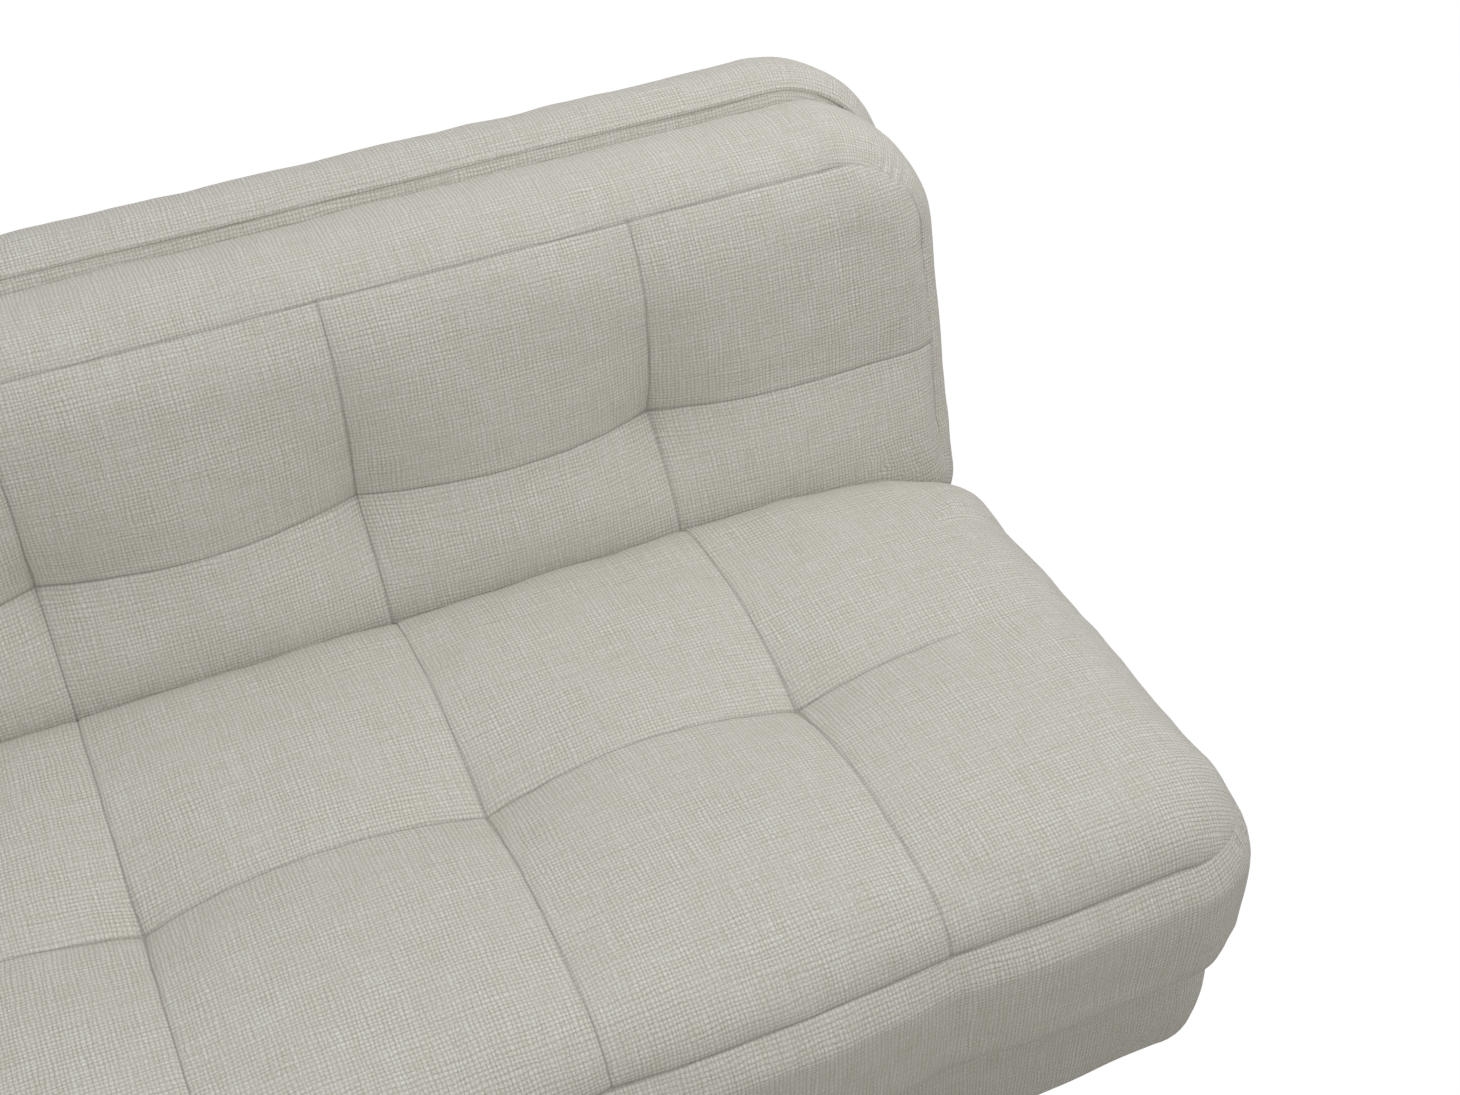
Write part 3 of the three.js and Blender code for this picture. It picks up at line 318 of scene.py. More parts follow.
class SofaSlot(bpy.types.PropertyGroup):
    """The slots in the back that the hinge plates swing in."""

    disc: FloatProperty(
        name="Disc", description="Radius of the room round the ratchet", default=0.055,
        unit="LENGTH")
    ahead: FloatProperty(
        name="Ahead", description="How far the slot reaches ahead of the hinge line",
        default=0.036, unit="LENGTH")
    above: FloatProperty(
        name="Above", description="How far the slot reaches above the hinge line",
        default=0.058, unit="LENGTH")
    head_room: FloatProperty(
        name="Head Room", description="Room left beside the pivot bolt's ends", default=0.0026,
        unit="LENGTH")
    overrun: FloatProperty(
        name="Overrun", description="How far the cut runs out of the back", default=0.030,
        unit="LENGTH")


class SofaPlinth(bpy.types.PropertyGroup):
    """The wrapped base under the seat and the feet."""

    corner: FloatProperty(
        name="Corner", description="Radius of the corners in plan", default=0.064, unit="LENGTH")
    top_round: FloatProperty(
        name="Top Rounding", description="Radius of the wrap's upper edge", default=0.034,
        unit="LENGTH")
    edge_round: FloatProperty(
        name="Edge Rounding", description="Radius of the wrap's lower edge", default=0.032,
        unit="LENGTH")
    pad: FloatProperty(
        name="Padding", description="Thickness of the wrap", default=0.040, unit="LENGTH")
    belly: FloatProperty(
        name="Belly", description="How far the wrap swells out at half its height", default=0.003,
        unit="LENGTH")
    ripple: FloatProperty(
        name="Ripple", description="Height of the slack waves in the wrap", default=0.0018,
        unit="LENGTH")
    foot_taper: FloatProperty(
        name="Foot Taper", description="Share of a foot's top radius that it stands on",
        default=0.85)


class SofaCloth(bpy.types.PropertyGroup):
    """The linen-look cover cloth."""

    colour: FloatVectorProperty(
        name="Colour", description="Colour of the yarn", default=(0.578, 0.560, 0.508),
        subtype="COLOR", min=0, max=1)
    yarn_pitch: FloatProperty(
        name="Yarn Pitch", description="Distance between neighbouring yarns", default=0.0037,
        unit="LENGTH")
    # Painted shade: how much darker the gaps between yarns are painted, as shade falls in them
    gap_painted_shade: FloatProperty(
        name="Gap Tone", description="How much darker the gaps between yarns are", default=0.60)
    relief: FloatProperty(
        name="Relief", description="Height of a yarn over the gaps", default=0.0009, unit="LENGTH")
    looseness: FloatProperty(
        name="Looseness", description="How far the yarns wander from their lines", default=0.5)
    slub: FloatProperty(
        name="Slub", description="How much brighter and darker single yarns are", default=0.45)
    fuzz: FloatProperty(
        name="Fuzz", description="How much brighter and darker single fibres are", default=0.8)
    # Painted shade: the plinth's cloth is painted a little darker for the shade under the seat's
    # overhang
    plinth_painted_shade: FloatProperty(
        name="Plinth Shade", description="Share of the colour that the plinth's cloth has",
        default=0.97)


class SofaStage(bpy.types.PropertyGroup):
    """The camera and the light."""

    lens: FloatProperty(
        name="Lens", description="Focal length in millimetres", default=50.81)
    camera_place: FloatVectorProperty(
        name="Camera Place", description="Where the camera stands", default=(0.0220, -1.2938, 1.8669),
        subtype="TRANSLATION")
    camera_tilt: FloatProperty(
        name="Camera Tilt", description="How far the camera looks down", default=radians(43.6019),
        subtype="ANGLE")
    camera_turn: FloatProperty(
        name="Camera Turn", description="How far the camera looks towards +X",
        default=radians(24.5396), subtype="ANGLE")
    sky_strength: FloatProperty(
        name="Sky Strength", description="Strength of the even light", default=0.54)
    top_power: FloatProperty(
        name="Top Light", description="Power of the lamp overhead in watts", default=15.0)
    top_place: FloatVectorProperty(
        name="Top Light Place", description="Where the lamp overhead hangs",
        default=(1.35, 0.1, 2.05), subtype="TRANSLATION")
    top_size: FloatProperty(
        name="Top Light Size", description="Side of the lamp overhead", default=2.0, unit="LENGTH")
    front_power: FloatProperty(
        name="Front Light", description="Power of the lamp in front in watts", default=11.0)
    front_place: FloatVectorProperty(
        name="Front Light Place", description="Where the lamp in front hangs",
        default=(-0.4, -1.9, 2.4), subtype="TRANSLATION")
    front_size: FloatProperty(
        name="Front Light Size", description="Side of the lamp in front", default=0.5,
        unit="LENGTH")
    floor_colour: FloatVectorProperty(
        name="Floor Colour", description="Colour of the floor in its light",
        default=(0.38, 0.36, 0.31), subtype="COLOR", min=0, max=1)


# Surfaces as grids of points

class Edge:
    """The rounding along one side of a padded form, and the pinch of its seam."""

    def __init__(self, radius, seam_angle, pinch=0.0, reach_below=0.5, reach_above=0.5):
        self.radius = radius
        self.seam_angle = seam_angle
        self.pinch = pinch
        self.reach_below = reach_below
        self.reach_above = reach_above


class PadForm:
    """A padded piece in plan, its top up: its sizes, its edges and its seams."""

    # What only some forms have: the seam along them, and how far the stuffing shapes their top
    row_seam = None
    cross_drop = crown = gathers = 0.0
    # How far their sides swell, ease in at the corners and lean
    bulge = belly = ease = 0.0
    far_sink = far_drop = far_reach = far_lean = near_swell = 0.0
    # The radius of their tighter corners, and whether those lie on the far side or the near one
    tight_corner = 0.0
    tight_side = 1
    # 1 where the ring seam leaves the far corners out
    open_corner = 0.0

    def __init__(self, length, depth, height, corner, edges, base_round, **details):
        self.half = length / 2
        self.depth = depth
        self.height = height
        self.corner = corner
        self.near, self.far, self.end = edges
        self.base_round = base_round
        for name, value in details.items():
            setattr(self, name, value)


def lerp(a, b, share):
    return a + (b - a) * share


def smooth_step(share):
    share = np.clip(share, 0.0, 1.0)
    return share * share * (3 - 2 * share)


def corner_stretch(form, turn, radius):
    """How far a corner's points move out from its centre to give it a tighter radius."""
    spare = form.corner - radius
    longer = np.maximum(np.cos(turn), np.sin(turn))
    shorter = np.minimum(np.cos(turn), np.sin(turn))
    centre = spare * (longer + shorter)
    arc = centre + np.sqrt(np.maximum(radius * radius - 2 * spare * spare + centre * centre, 0.0))
    straight = form.corner * shorter <= spare * longer
    return np.where(straight, form.corner / longer, arc) / form.corner


def edge_profile(form, edge, ring, pinched=1.0):
    """How far each ring lies in from the outline and below the top, and the cloth out to it."""
    flat, upper, lower, side, base = (np.clip(ring - n, 0.0, 1.0) for n in range(5))
    angle = RIGHT_ANGLE - upper * (RIGHT_ANGLE - edge.seam_angle) - lower * edge.seam_angle
    turn = base * RIGHT_ANGLE
    side_height = form.height - edge.radius - form.base_round
    inset = (edge.radius * (1 - np.cos(angle)) + (1 - flat) * (form.corner - edge.radius)
             + form.base_round * (1 - np.cos(turn)))
    drop = edge.radius * (1 - np.sin(angle)) + side * side_height + form.base_round * np.sin(turn)
    cloth = (flat * (form.corner - edge.radius) + edge.radius * (RIGHT_ANGLE - angle)
             + side * side_height + form.base_round * turn)
    apart = angle - edge.seam_angle
    reach = np.where(apart < 0, edge.reach_below, edge.reach_above)
    pinch = edge.pinch * pinched * np.clip(1 - np.abs(apart) / reach, 0.0, 1.0) ** 1.5
    return inset + pinch * np.cos(angle), drop + pinch * np.sin(angle), cloth


# Shares of a ring section at which lines lie close beside the seam
SEAM_SHARES = (0.015, 0.033, 0.056, 0.094, 0.15, 0.225)
# The same lines beside a straight seam, in metres
SEAM_OFFSETS = (0.0012, 0.0026, 0.0045, 0.0075, 0.012, 0.018)


def ring_marks(fine, base_steps=8):
    """Ring numbers from the base in to the flat: many and close to the seam, or few."""
    if not fine:
        sections = [np.linspace(0, 1, 3), 1 + np.linspace(0, 1, 7), 2 + np.linspace(0, 1, 5),
                    3 + np.linspace(0, 1, 5), 4 + np.linspace(0, 1, 4)]
        return np.unique(np.concatenate(sections).round(6))[::-1]
    close = np.array(SEAM_SHARES)
    rest = np.linspace(SEAM_SHARES[-1], 1, 9)
    sections = [np.linspace(0, 1, 5), 2 - close, 2 - rest, [SEAM_RING], 2 + close, 2 + rest,
                3 + np.linspace(0, 1, 11), 4 + np.linspace(0, 1, base_steps + 1)]
    return np.unique(np.concatenate(sections).round(6))[::-1]


def lines_between(low, high, seams, step, offsets):
    """Places from low to high: on each seam, close beside it, and a step apart elsewhere."""
    places = [low, high]
    for seam in seams:
        places += [seam] + [seam + side * offset for offset in offsets for side in (-1, 1)]
    places = sorted(place for place in places if low <= place <= high)
    filled = []
    for left, right in zip(places, places[1:]):
        count = max(1, round((right - left) / step))
        filled += list(np.linspace(left, right, count, endpoint=False))
    return np.array(filled + [high])


class GridLines:
    """The lines of a form along one axis: their side, their ring and their place on the flat."""

    def __init__(self, low, high, between, rings):
        outer = rings[:-1]
        self.side = np.repeat([-1.0, 0.0, 1.0], [len(outer), len(between), len(outer)])
        self.ring = np.concatenate([outer, np.zeros(len(between)), outer[::-1]])
        self.place = np.concatenate([np.full(len(outer), low), between, np.full(len(outer), high)])

    def spread(self, ring_width=0.1):
        """One number along the lines that grows with every line, for reading between them."""
        return self.place + self.side * self.ring * ring_width


def column_seams(quilting):
    count = quilting.seams_per_side
    return [n * quilting.seam_pitch for n in range(-count, count + 1)]


def closeness(place, seams, reach):
    apart = np.min([np.abs(place - seam) for seam in seams], axis=0)
    return np.clip(1 - apart / reach, 0.0, 1.0)


def quilt_drop(form, quilting, x, y):
    """How deep the quilting draws the cover down at a place on the form."""
    if form.row_seam is None:
        return np.zeros_like(x)
    seams = column_seams(quilting)
    column = closeness(x, seams, quilting.cross_reach)
    row = closeness(y, [form.row_seam], quilting.cross_reach)
    groove = np.maximum(closeness(x, seams, quilting.groove_reach) ** 1.6,
                        closeness(y, [form.row_seam], quilting.groove_reach) ** 1.6)
    swell = form.crown * np.clip(np.sin(pi * np.clip(y / form.row_seam, 0.0, 1.0)), 0.0, 1.0)
    return form.cross_drop * (column * row) ** 2.2 + quilting.seam_drop * groove - swell


class Sheet:
    """A grid of points over a form with what is known of each."""


def swept_out(form, quilting, sheet):
    """How far the stuffing presses each point out of the plan's outline, and back past it."""
    ring = sheet.ring
    between = 1 - closeness(sheet.x, column_seams(quilting), quilting.seam_pitch / 2) ** 2.5
    bulge = form.bulge * between * np.clip(-sheet.out_y, 0.0, 1.0)
    draw_in = END_DRAW_IN * (1 - sheet.along * sheet.along) * np.abs(sheet.out_x)
    outer = smooth_step((ring - 1) / 2) * (1 - 0.7 * smooth_step(ring - BASE_RING))
    eased = np.where(sheet.along > 0, REAR_EASE, 1.0) * form.ease * sheet.along
    eased = eased * np.abs(sheet.out_x) * smooth_step((ring - 0.5) / 2.5)
    low_band = smooth_step((ring - SEAM_RING) / 1.5) * (1 - smooth_step(ring - BASE_RING))
    belly = form.belly * low_band * lerp(0.5, 1.0, np.abs(sheet.out_y)) * (sheet.out_y <= 0)
    shift = (bulge - draw_in) * outer - eased + belly
    lean = form.far_lean * smooth_step((ring - 0.5) / 1.2)
    lean = lean * (1 - smooth_step((ring - SEAM_RING) / 1.1))
    further = (form.far_reach * outer + lean) * np.clip(sheet.out_y, 0.0, 1.0)
    return shift, further


def settled_height(form, quilting, sheet, drop):
    """How high each point lies once the seams and the slopes draw the cover down."""
    fade = 1 - np.clip(sheet.ring - 1, 0.0, 1.0) ** 1.8
    z = form.height - drop - quilt_drop(form, quilting, sheet.x, sheet.y) * fade
    near_end = smooth_step((np.abs(sheet.x) - form.half + SLOPE_START) / SLOPE_LENGTH)
    z = z - form.far_sink * near_end * smooth_step((sheet.along - 0.3) / 0.7)
    z = z - form.far_drop * smooth_step((sheet.y - form.depth + REAR_STRIP) / REAR_STRIP_FALL)
    above_near = np.clip(1 - np.abs(sheet.y - SWELL_MIDDLE) / SWELL_HALF_WIDTH, 0.0, 1.0)
    return z + form.near_swell * smooth_step(above_near) * fade


def lay_sheet(form, quilting, x_lines, y_lines):
    """Lays a grid over a form, from its top round its edges to its base."""
    ring_x, ring_y = np.meshgrid(x_lines.ring, y_lines.ring, indexing="ij")
    side_x, side_y = np.meshgrid(x_lines.side, y_lines.side, indexing="ij")
    ring = np.maximum(ring_x, ring_y)
    bigger = np.where(ring > 0, ring, 1.0)
    ratio = np.minimum(ring_x, ring_y) / bigger
    turn = np.where(ring_x >= ring_y, ratio * pi / 4, RIGHT_ANGLE - ratio * pi / 4)
    share = turn / RIGHT_ANGLE
    pinched = 1 - CORNER_PINCH_LOSS * np.sin(2 * turn) * (side_x * side_y != 0)
    edges = (form.end, form.near, form.far)
    end, near, far = (edge_profile(form, edge, ring, pinched) for edge in edges)
    side = [np.where(side_y > 0, far_value, near_value) for near_value, far_value in zip(near, far)]
    inset, drop, cloth = (lerp(a, b, share) for a, b in zip(end, side))
    on_edge = ring > 0
    reach = np.where(on_edge, form.corner - inset, 0.0)
    if form.tight_corner:
        tight = (side_x != 0) & (side_y * form.tight_side > 0)
        reach = reach * np.where(tight, corner_stretch(form, turn, form.tight_corner), 1.0)

    sheet = Sheet()
    sheet.x_lines, sheet.y_lines = x_lines, y_lines
    sheet.ring, sheet.turn, sheet.cloth = ring, turn, np.where(on_edge, cloth, 0.0)
    sheet.out_x = np.where(on_edge, side_x * np.cos(turn), 0.0)
    sheet.out_y = np.where(on_edge, side_y * np.sin(turn), 0.0)
    sheet.flat_x, sheet.flat_y = np.meshgrid(x_lines.place, y_lines.place, indexing="ij")
    sheet.x = sheet.flat_x + sheet.out_x * reach
    sheet.y = sheet.flat_y + sheet.out_y * reach
    sheet.along = 2 * sheet.y / form.depth - 1
    end_seam, near_seam, far_seam = (edge_profile(form, edge, np.array(SEAM_RING))[2] for edge in edges)
    sheet.past_seam = sheet.cloth - lerp(end_seam, np.where(side_y > 0, far_seam, near_seam), share)
    z = settled_height(form, quilting, sheet, np.where(on_edge, drop, 0.0))
    shift, further = swept_out(form, quilting, sheet)
    x = sheet.x + sheet.out_x * shift
    y = sheet.y + sheet.out_y * shift + further
    sheet.points = np.stack([x, y, z], axis=-1)
    return sheet


def sheet_normals(points):
    """The way each point of a grid faces, from its neighbours."""
    along = np.gradient(points, axis=0)
    across = np.gradient(points, axis=1)
    normals = np.cross(along, across)
    length = np.linalg.norm(normals, axis=-1, keepdims=True)
    return normals / np.where(length > 0, length, 1.0)


def waves(u, v, wavelength, seed, count=14):
    """Smooth uneven height between about -1 and 1 over a surface, the same for the same seed."""
    draw = np.random.default_rng(seed)
    height = np.zeros_like(u)
    for _ in range(count):
        direction = draw.uniform(0, 2 * pi)
        length = wavelength * draw.uniform(0.7, 1.6)
        phase = draw.uniform(0, 2 * pi)
        height += np.sin(2 * pi * (u * cos(direction) + v * sin(direction)) / length + phase)
    return height / count ** 0.5 / 1.4


def sheet_piece(name, sheet):
    """A plain mesh of a sheet, open below."""
    count_x, count_y = sheet.ring.shape
    i, j = np.meshgrid(np.arange(count_x - 1), np.arange(count_y - 1), indexing="ij")
    first = i * count_y + j
    faces = np.stack([first, first + count_y, first + count_y + 1, first + 1], axis=-1)
    return mesh_from_faces(name, sheet.points.reshape(-1, 3), faces.reshape(-1, 4).tolist())


def mesh_points(mesh):
    places = np.zeros(len(mesh.vertices) * 3, dtype=np.float32)
    mesh.vertices.foreach_get("co", places)
    return places.reshape(-1, 3).astype(float)


def sewn_down(form, sheet, seams):
    """Which points of a sheet the seams and the base hold."""
    column = np.min([np.abs(sheet.x - seam) for seam in seams], axis=0)
    row = np.abs(sheet.y - form.row_seam)
    quilted = (np.minimum(column, row) < SEAM_GRIP) & (sheet.ring < SEAM_RING)
    return quilted | (np.abs(sheet.ring - SEAM_RING) < SEAM_GRIP) | (sheet.ring > 3.9)


def between_lines(fine, coarse):
    """Shares that read values on coarse lines out on fine lines."""
    places = coarse.spread()
    rows = [np.interp(fine.spread(), places, line) for line in np.eye(len(places))]
    return np.stack(rows, axis=-1)


def stuff(form, sheet):
    """Presses a sheet out between its seams as stuffing does, with a cloth simulation."""
    stuffing = bpy.context.scene.sofa_stuffing
    coarse = sheet_for(form, fine=False)
    piece = sheet_piece("pressed_sheet", coarse)
    held = sewn_down(form, coarse, column_seams(bpy.context.scene.sofa_quilting))
    pins = piece.vertex_groups.new(name="held")
    pins.add(np.flatnonzero(held.ravel()).tolist(), 1.0, "REPLACE")
    cloth = piece.modifiers.new("stuffing", "CLOTH")
    settings = cloth.settings
    settings.vertex_group_mass = pins.name
    settings.use_pressure = True
    settings.uniform_pressure_force = stuffing.pressure
    settings.shrink_min = -stuffing.slack
    settings.effector_weights.gravity = 0.0
    settings.quality = 6
    settings.mass = 0.3
    settings.bending_stiffness = 0.8
    cloth.point_cache.frame_start = 1
    cloth.point_cache.frame_end = stuffing.frames
    for number in range(1, stuffing.frames + 1):
        bpy.context.scene.frame_set(number)
    shaped = piece.evaluated_get(bpy.context.evaluated_depsgraph_get())
    moved = mesh_points(shaped.data) - mesh_points(piece.data)
    bpy.context.scene.frame_set(1)
    bpy.data.objects.remove(piece)
    length = np.linalg.norm(moved, axis=-1, keepdims=True)
    moved *= stuffing.most * np.tanh(length / stuffing.most) / np.maximum(length, 1e-9)
    kept = lerp(stuffing.share, stuffing.edge_share, smooth_step((coarse.ring - 0.5) / 1.3))
    moved = moved.reshape(coarse.points.shape) * kept[..., None]
    for _ in range(stuffing.smoothing):
        moved[1:-1] = (moved[:-2] + 2 * moved[1:-1] + moved[2:]) / 4
        moved[:, 1:-1] = (moved[:, :-2] + 2 * moved[:, 1:-1] + moved[:, 2:]) / 4
    across_x = between_lines(sheet.x_lines, coarse.x_lines)
    across_y = between_lines(sheet.y_lines, coarse.y_lines)
    moved = np.einsum("ia,abc,jb->ijc", across_x, moved, across_y, optimize=True)
    sheet.points = sheet.points + moved


def seam_distances(form, quilting, sheet):
    """Distance of each point from each kind of seam, or far where that seam doesn't run."""
    far_away = 1.0
    ring_seam = np.abs(sheet.past_seam)
    if form.row_seam is None:
        return [ring_seam]
    inside = sheet.past_seam < 0.002
    column = np.min([np.abs(sheet.x - seam) for seam in column_seams(quilting)], axis=0)
    row = np.abs(sheet.y - form.row_seam)
    return [ring_seam, np.where(inside, column, far_away), np.where(inside, row, far_away)]


def seam_strengths(form, sheet, row_end, ring_fade):
    """How strongly each kind of seam shows at each point."""
    corner = np.sin(2 * sheet.turn) * (np.abs(sheet.out_x) > 1e-9) * (np.abs(sheet.out_y) > 1e-9)
    ring = 1 - ring_fade * smooth_step((corner - 0.35) / 0.35)
    ring *= np.where((corner > 0) & (sheet.out_y * form.open_corner > 0), 0.0, 1.0)
    if form.row_seam is None:
        return [ring]
    row = 1 - smooth_step((np.abs(sheet.x) - row_end) / SEAM_FADE)
    return [ring, np.ones_like(row), row]


def add_needlework(form, quilting, sheet, seed, row_end, ring_fade):
    """Sinks the seams into a sheet, gathers the cloth beside them and makes the stuffing uneven."""
    normals = sheet_normals(sheet.points)
    u = sheet.flat_x + sheet.out_x * sheet.cloth
    v = sheet.flat_y + sheet.out_y * sheet.cloth
    height = quilting.unevenness * waves(u, v, LONG_WAVE, seed)
    height += SHORT_WAVE_SHARE * quilting.unevenness * waves(u, v, SHORT_WAVE, seed + 1)
    mark = np.zeros_like(u)
    distances = seam_distances(form, quilting, sheet)
    strengths = seam_strengths(form, sheet, row_end, ring_fade)
    alongs = (u + v, v, u)
    for n, (distance, strength, along_seam) in enumerate(zip(distances, strengths, alongs)):
        gathers = waves(along_seam, distance * 0.25, GATHER_LENGTH, seed + 10 + n)
        gathers *= 0.5 + 0.5 * waves(along_seam, distance, GATHER_DRIFT, seed + 20 + n)
        near_seam = np.exp(-distance / GATHER_REACH) * strength
        height += quilting.pucker * gathers * near_seam
        height -= quilting.stitch_depth * strength * np.exp(-(distance / STITCH_REACH) ** 2)
        mark = np.maximum(mark, strength * np.exp(-(distance / quilting.mark_width) ** 2))
    on_corner = (np.abs(sheet.out_x) > 1e-9) * (sheet.out_y * (form.open_corner * 2 - 1) < -1e-9)
    window = np.clip(np.sin(2 * sheet.turn), 0.0, 1.0) ** 3 * on_corner
    wander = 2 * waves(u, v, SHORT_WAVE, seed + 30)
    folds = np.cos(2 * pi * form.corner * sheet.turn / FOLD_PITCH + wander)
    below = np.exp(-((sheet.past_seam - FOLD_BELOW) / FOLD_REACH) ** 2)
    height += form.gathers * folds * window * below
    hidden = smooth_step(sheet.ring - BASE_RING)
    sheet.points = sheet.points + normals * (height * (1 - hidden))[..., None]
    sheet.mark = mark


# From grids to Blender meshes

def weave_places(form, sheet, faces_i, faces_j):
    """Cloth coordinates at the corners of each face: the top panel's or the boxing's own."""
    top_u = sheet.flat_x + sheet.out_x * sheet.cloth
    top_v = sheet.flat_y + sheet.out_y * sheet.cloth
    straight = np.abs(sheet.flat_x)
    arc = form.corner * (RIGHT_ANGLE - sheet.turn)
    quarter = form.corner * RIGHT_ANGLE
    on_side = np.abs(sheet.out_x) < 1e-9
    near_run = straight + np.where(on_side, 0.0, arc)
    up_side = np.clip(sheet.flat_y - form.corner, 0.0, form.depth - 2 * form.corner)
    end_run = (form.half - form.corner) + quarter + up_side
    far_arc = np.where(sheet.out_y > 1e-9, form.corner * sheet.turn, 0.0)
    far_run = (form.half - form.corner) + quarter + form.depth - 2 * form.corner + far_arc
    far_run = far_run + np.where(on_side, form.half - form.corner - straight, 0.0)
    run = np.where(sheet.out_y < -1e-9, near_run, np.where(sheet.out_y > 1e-9, far_run, end_run))
    centre_x = sheet.points[faces_i, faces_j, 0].mean(axis=-1, keepdims=True)
    boxed = sheet.past_seam[faces_i, faces_j].mean(axis=-1, keepdims=True) > 0
    box_u = np.sign(centre_x) * run[faces_i, faces_j]
    box_v = -form.corner - sheet.cloth[faces_i, faces_j]
    return np.stack([
        np.where(boxed, box_u, top_u[faces_i, faces_j]),
        np.where(boxed, box_v, top_v[faces_i, faces_j]),
        np.zeros_like(box_u),
    ], axis=-1)


def mesh_from_faces(name, points, faces, flip=False):
    mesh = bpy.data.meshes.new(name)
    if flip:
        faces = [face[::-1] for face in faces]
    mesh.from_pydata(points.tolist(), [], faces)
    mesh.polygons.foreach_set("use_smooth", [True] * len(mesh.polygons))
    mesh.update()
    piece = bpy.data.objects.new(name, mesh)
    bpy.context.scene.collection.objects.link(piece)
    return piece


def add_values(mesh, name, kind, domain, values):
    attribute = mesh.attributes.new(name, kind, domain)
    field = "vector" if kind == "FLOAT_VECTOR" else "value"
    attribute.data.foreach_set(field, np.ascontiguousarray(values, dtype=np.float32).ravel())


def pad_piece(name, form, sheet, place, flip=False):
    """Makes the closed mesh of a padded form: its sheet and the base that closes it."""
    count_x, count_y = sheet.ring.shape
    i, j = np.meshgrid(np.arange(count_x - 1), np.arange(count_y - 1), indexing="ij")
    corners_i = np.stack([i, i + 1, i + 1, i], axis=-1).reshape(-1, 4)
    corners_j = np.stack([j, j, j + 1, j + 1], axis=-1).reshape(-1, 4)
    weave = weave_places(form, sheet, corners_i, corners_j)
    faces = corners_i * count_y + corners_j
    rim = ([(n, 0) for n in range(count_x - 1)] + [(count_x - 1, n) for n in range(count_y - 1)]
           + [(n, count_y - 1) for n in range(count_x - 1, 0, -1)]
           + [(0, n) for n in range(count_y - 1, 0, -1)])
    base = [a * count_y + b for a, b in rim][::-1]
    base_weave = np.array([[*sheet.points[a, b, :2], 0.0] for a, b in rim])[::-1]
    if flip:
        weave = weave[:, ::-1]
        base_weave = base_weave[::-1]
    piece = mesh_from_faces(name, place(sheet.points.reshape(-1, 3)), faces.tolist() + [base], flip)
    mesh = piece.data
    mesh.polygons[len(mesh.polygons) - 1].use_smooth = False
    weave = np.concatenate([weave.reshape(-1, 3), base_weave])
    add_values(mesh, "weave", "FLOAT_VECTOR", "CORNER", weave)
    add_values(mesh, "seam", "FLOAT", "POINT", sheet.mark)
    return piece


# The piece's own place: the seat stands on the plinth, the back leans on the hinge line

def hinge_line():
    joint = next(j for j in frame["record"]["behaviour"]["joints"] if j["name"] == "back_recline")
    return Vector(joint["pos_m"] if "pos_m" in joint else joint["pos"])


def on_back(points):
    """Leans points drawn about the hinge line: y into the back, z up its face."""
    pivot = hinge_line()
    y, z = points[:, 1], points[:, 2]
    leaned = points.copy()
    leaned[:, 1] = pivot.y + y * cos(RECLINE) + z * sin(RECLINE)
    leaned[:, 2] = pivot.z - y * sin(RECLINE) + z * cos(RECLINE)
    return leaned


# Node trees

class Wiring:
    """Adds nodes to a tree and joins them, so that a formula reads as one."""

    def __init__(self, tree):
        self.tree = tree

    def node(self, kind, **settings):
        made = self.tree.nodes.new(kind)
        for name, value in settings.items():
            setattr(made, name, value)
        return made

    def feed(self, socket, value):
        if isinstance(value, bpy.types.NodeSocket):
            self.tree.links.new(value, socket)
        elif value is not None:
            socket.default_value = value

    def math(self, operation, *values):
        made = self.node("ShaderNodeMath", operation=operation)
        for socket, value in zip(made.inputs, values):
            self.feed(socket, value)
        return made.outputs[0]

    def clamped(self, value, low, high, to_low, to_high):
        made = self.node("ShaderNodeMapRange", interpolation_type="SMOOTHSTEP")
        for socket, number in zip(made.inputs, (value, low, high, to_low, to_high)):
            self.feed(socket, number)
        return made.outputs[0]

    def noise(self, vector, scale, detail=2.0, roughness=0.5):
        made = self.node("ShaderNodeTexNoise")
        self.feed(made.inputs["Vector"], vector)
        self.feed(made.inputs["Scale"], scale)
        self.feed(made.inputs["Detail"], detail)
        self.feed(made.inputs["Roughness"], roughness)
        return made.outputs[0]

    def stretched(self, vector, scale):
        made = self.node("ShaderNodeVectorMath", operation="MULTIPLY")
        self.feed(made.inputs[0], vector)
        self.feed(made.inputs[1], scale)
        return made.outputs[0]

    def object_place(self):
        return self.node("ShaderNodeTexCoord").outputs["Object"]

    def mix(self, share, first, second):
        made = self.node("ShaderNodeMix", data_type="RGBA")
        self.feed(made.inputs[0], share)
        self.feed(made.inputs[6], first)
        self.feed(made.inputs[7], second)
        return made.outputs[2]


def new_group(name, inputs, outputs):
    """A shader node group with named sockets, its wiring and its two ends."""
    group = bpy.data.node_groups.new(name, "ShaderNodeTree")
    for label, kind, default in inputs:
        socket = group.interface.new_socket(name=label, in_out="INPUT", socket_type=kind)
        if default is not None:
            socket.default_value = default
    for label, kind in outputs:
        group.interface.new_socket(name=label, in_out="OUTPUT", socket_type=kind)
    wiring = Wiring(group)
    return group, wiring, wiring.node("NodeGroupInput"), wiring.node("NodeGroupOutput")


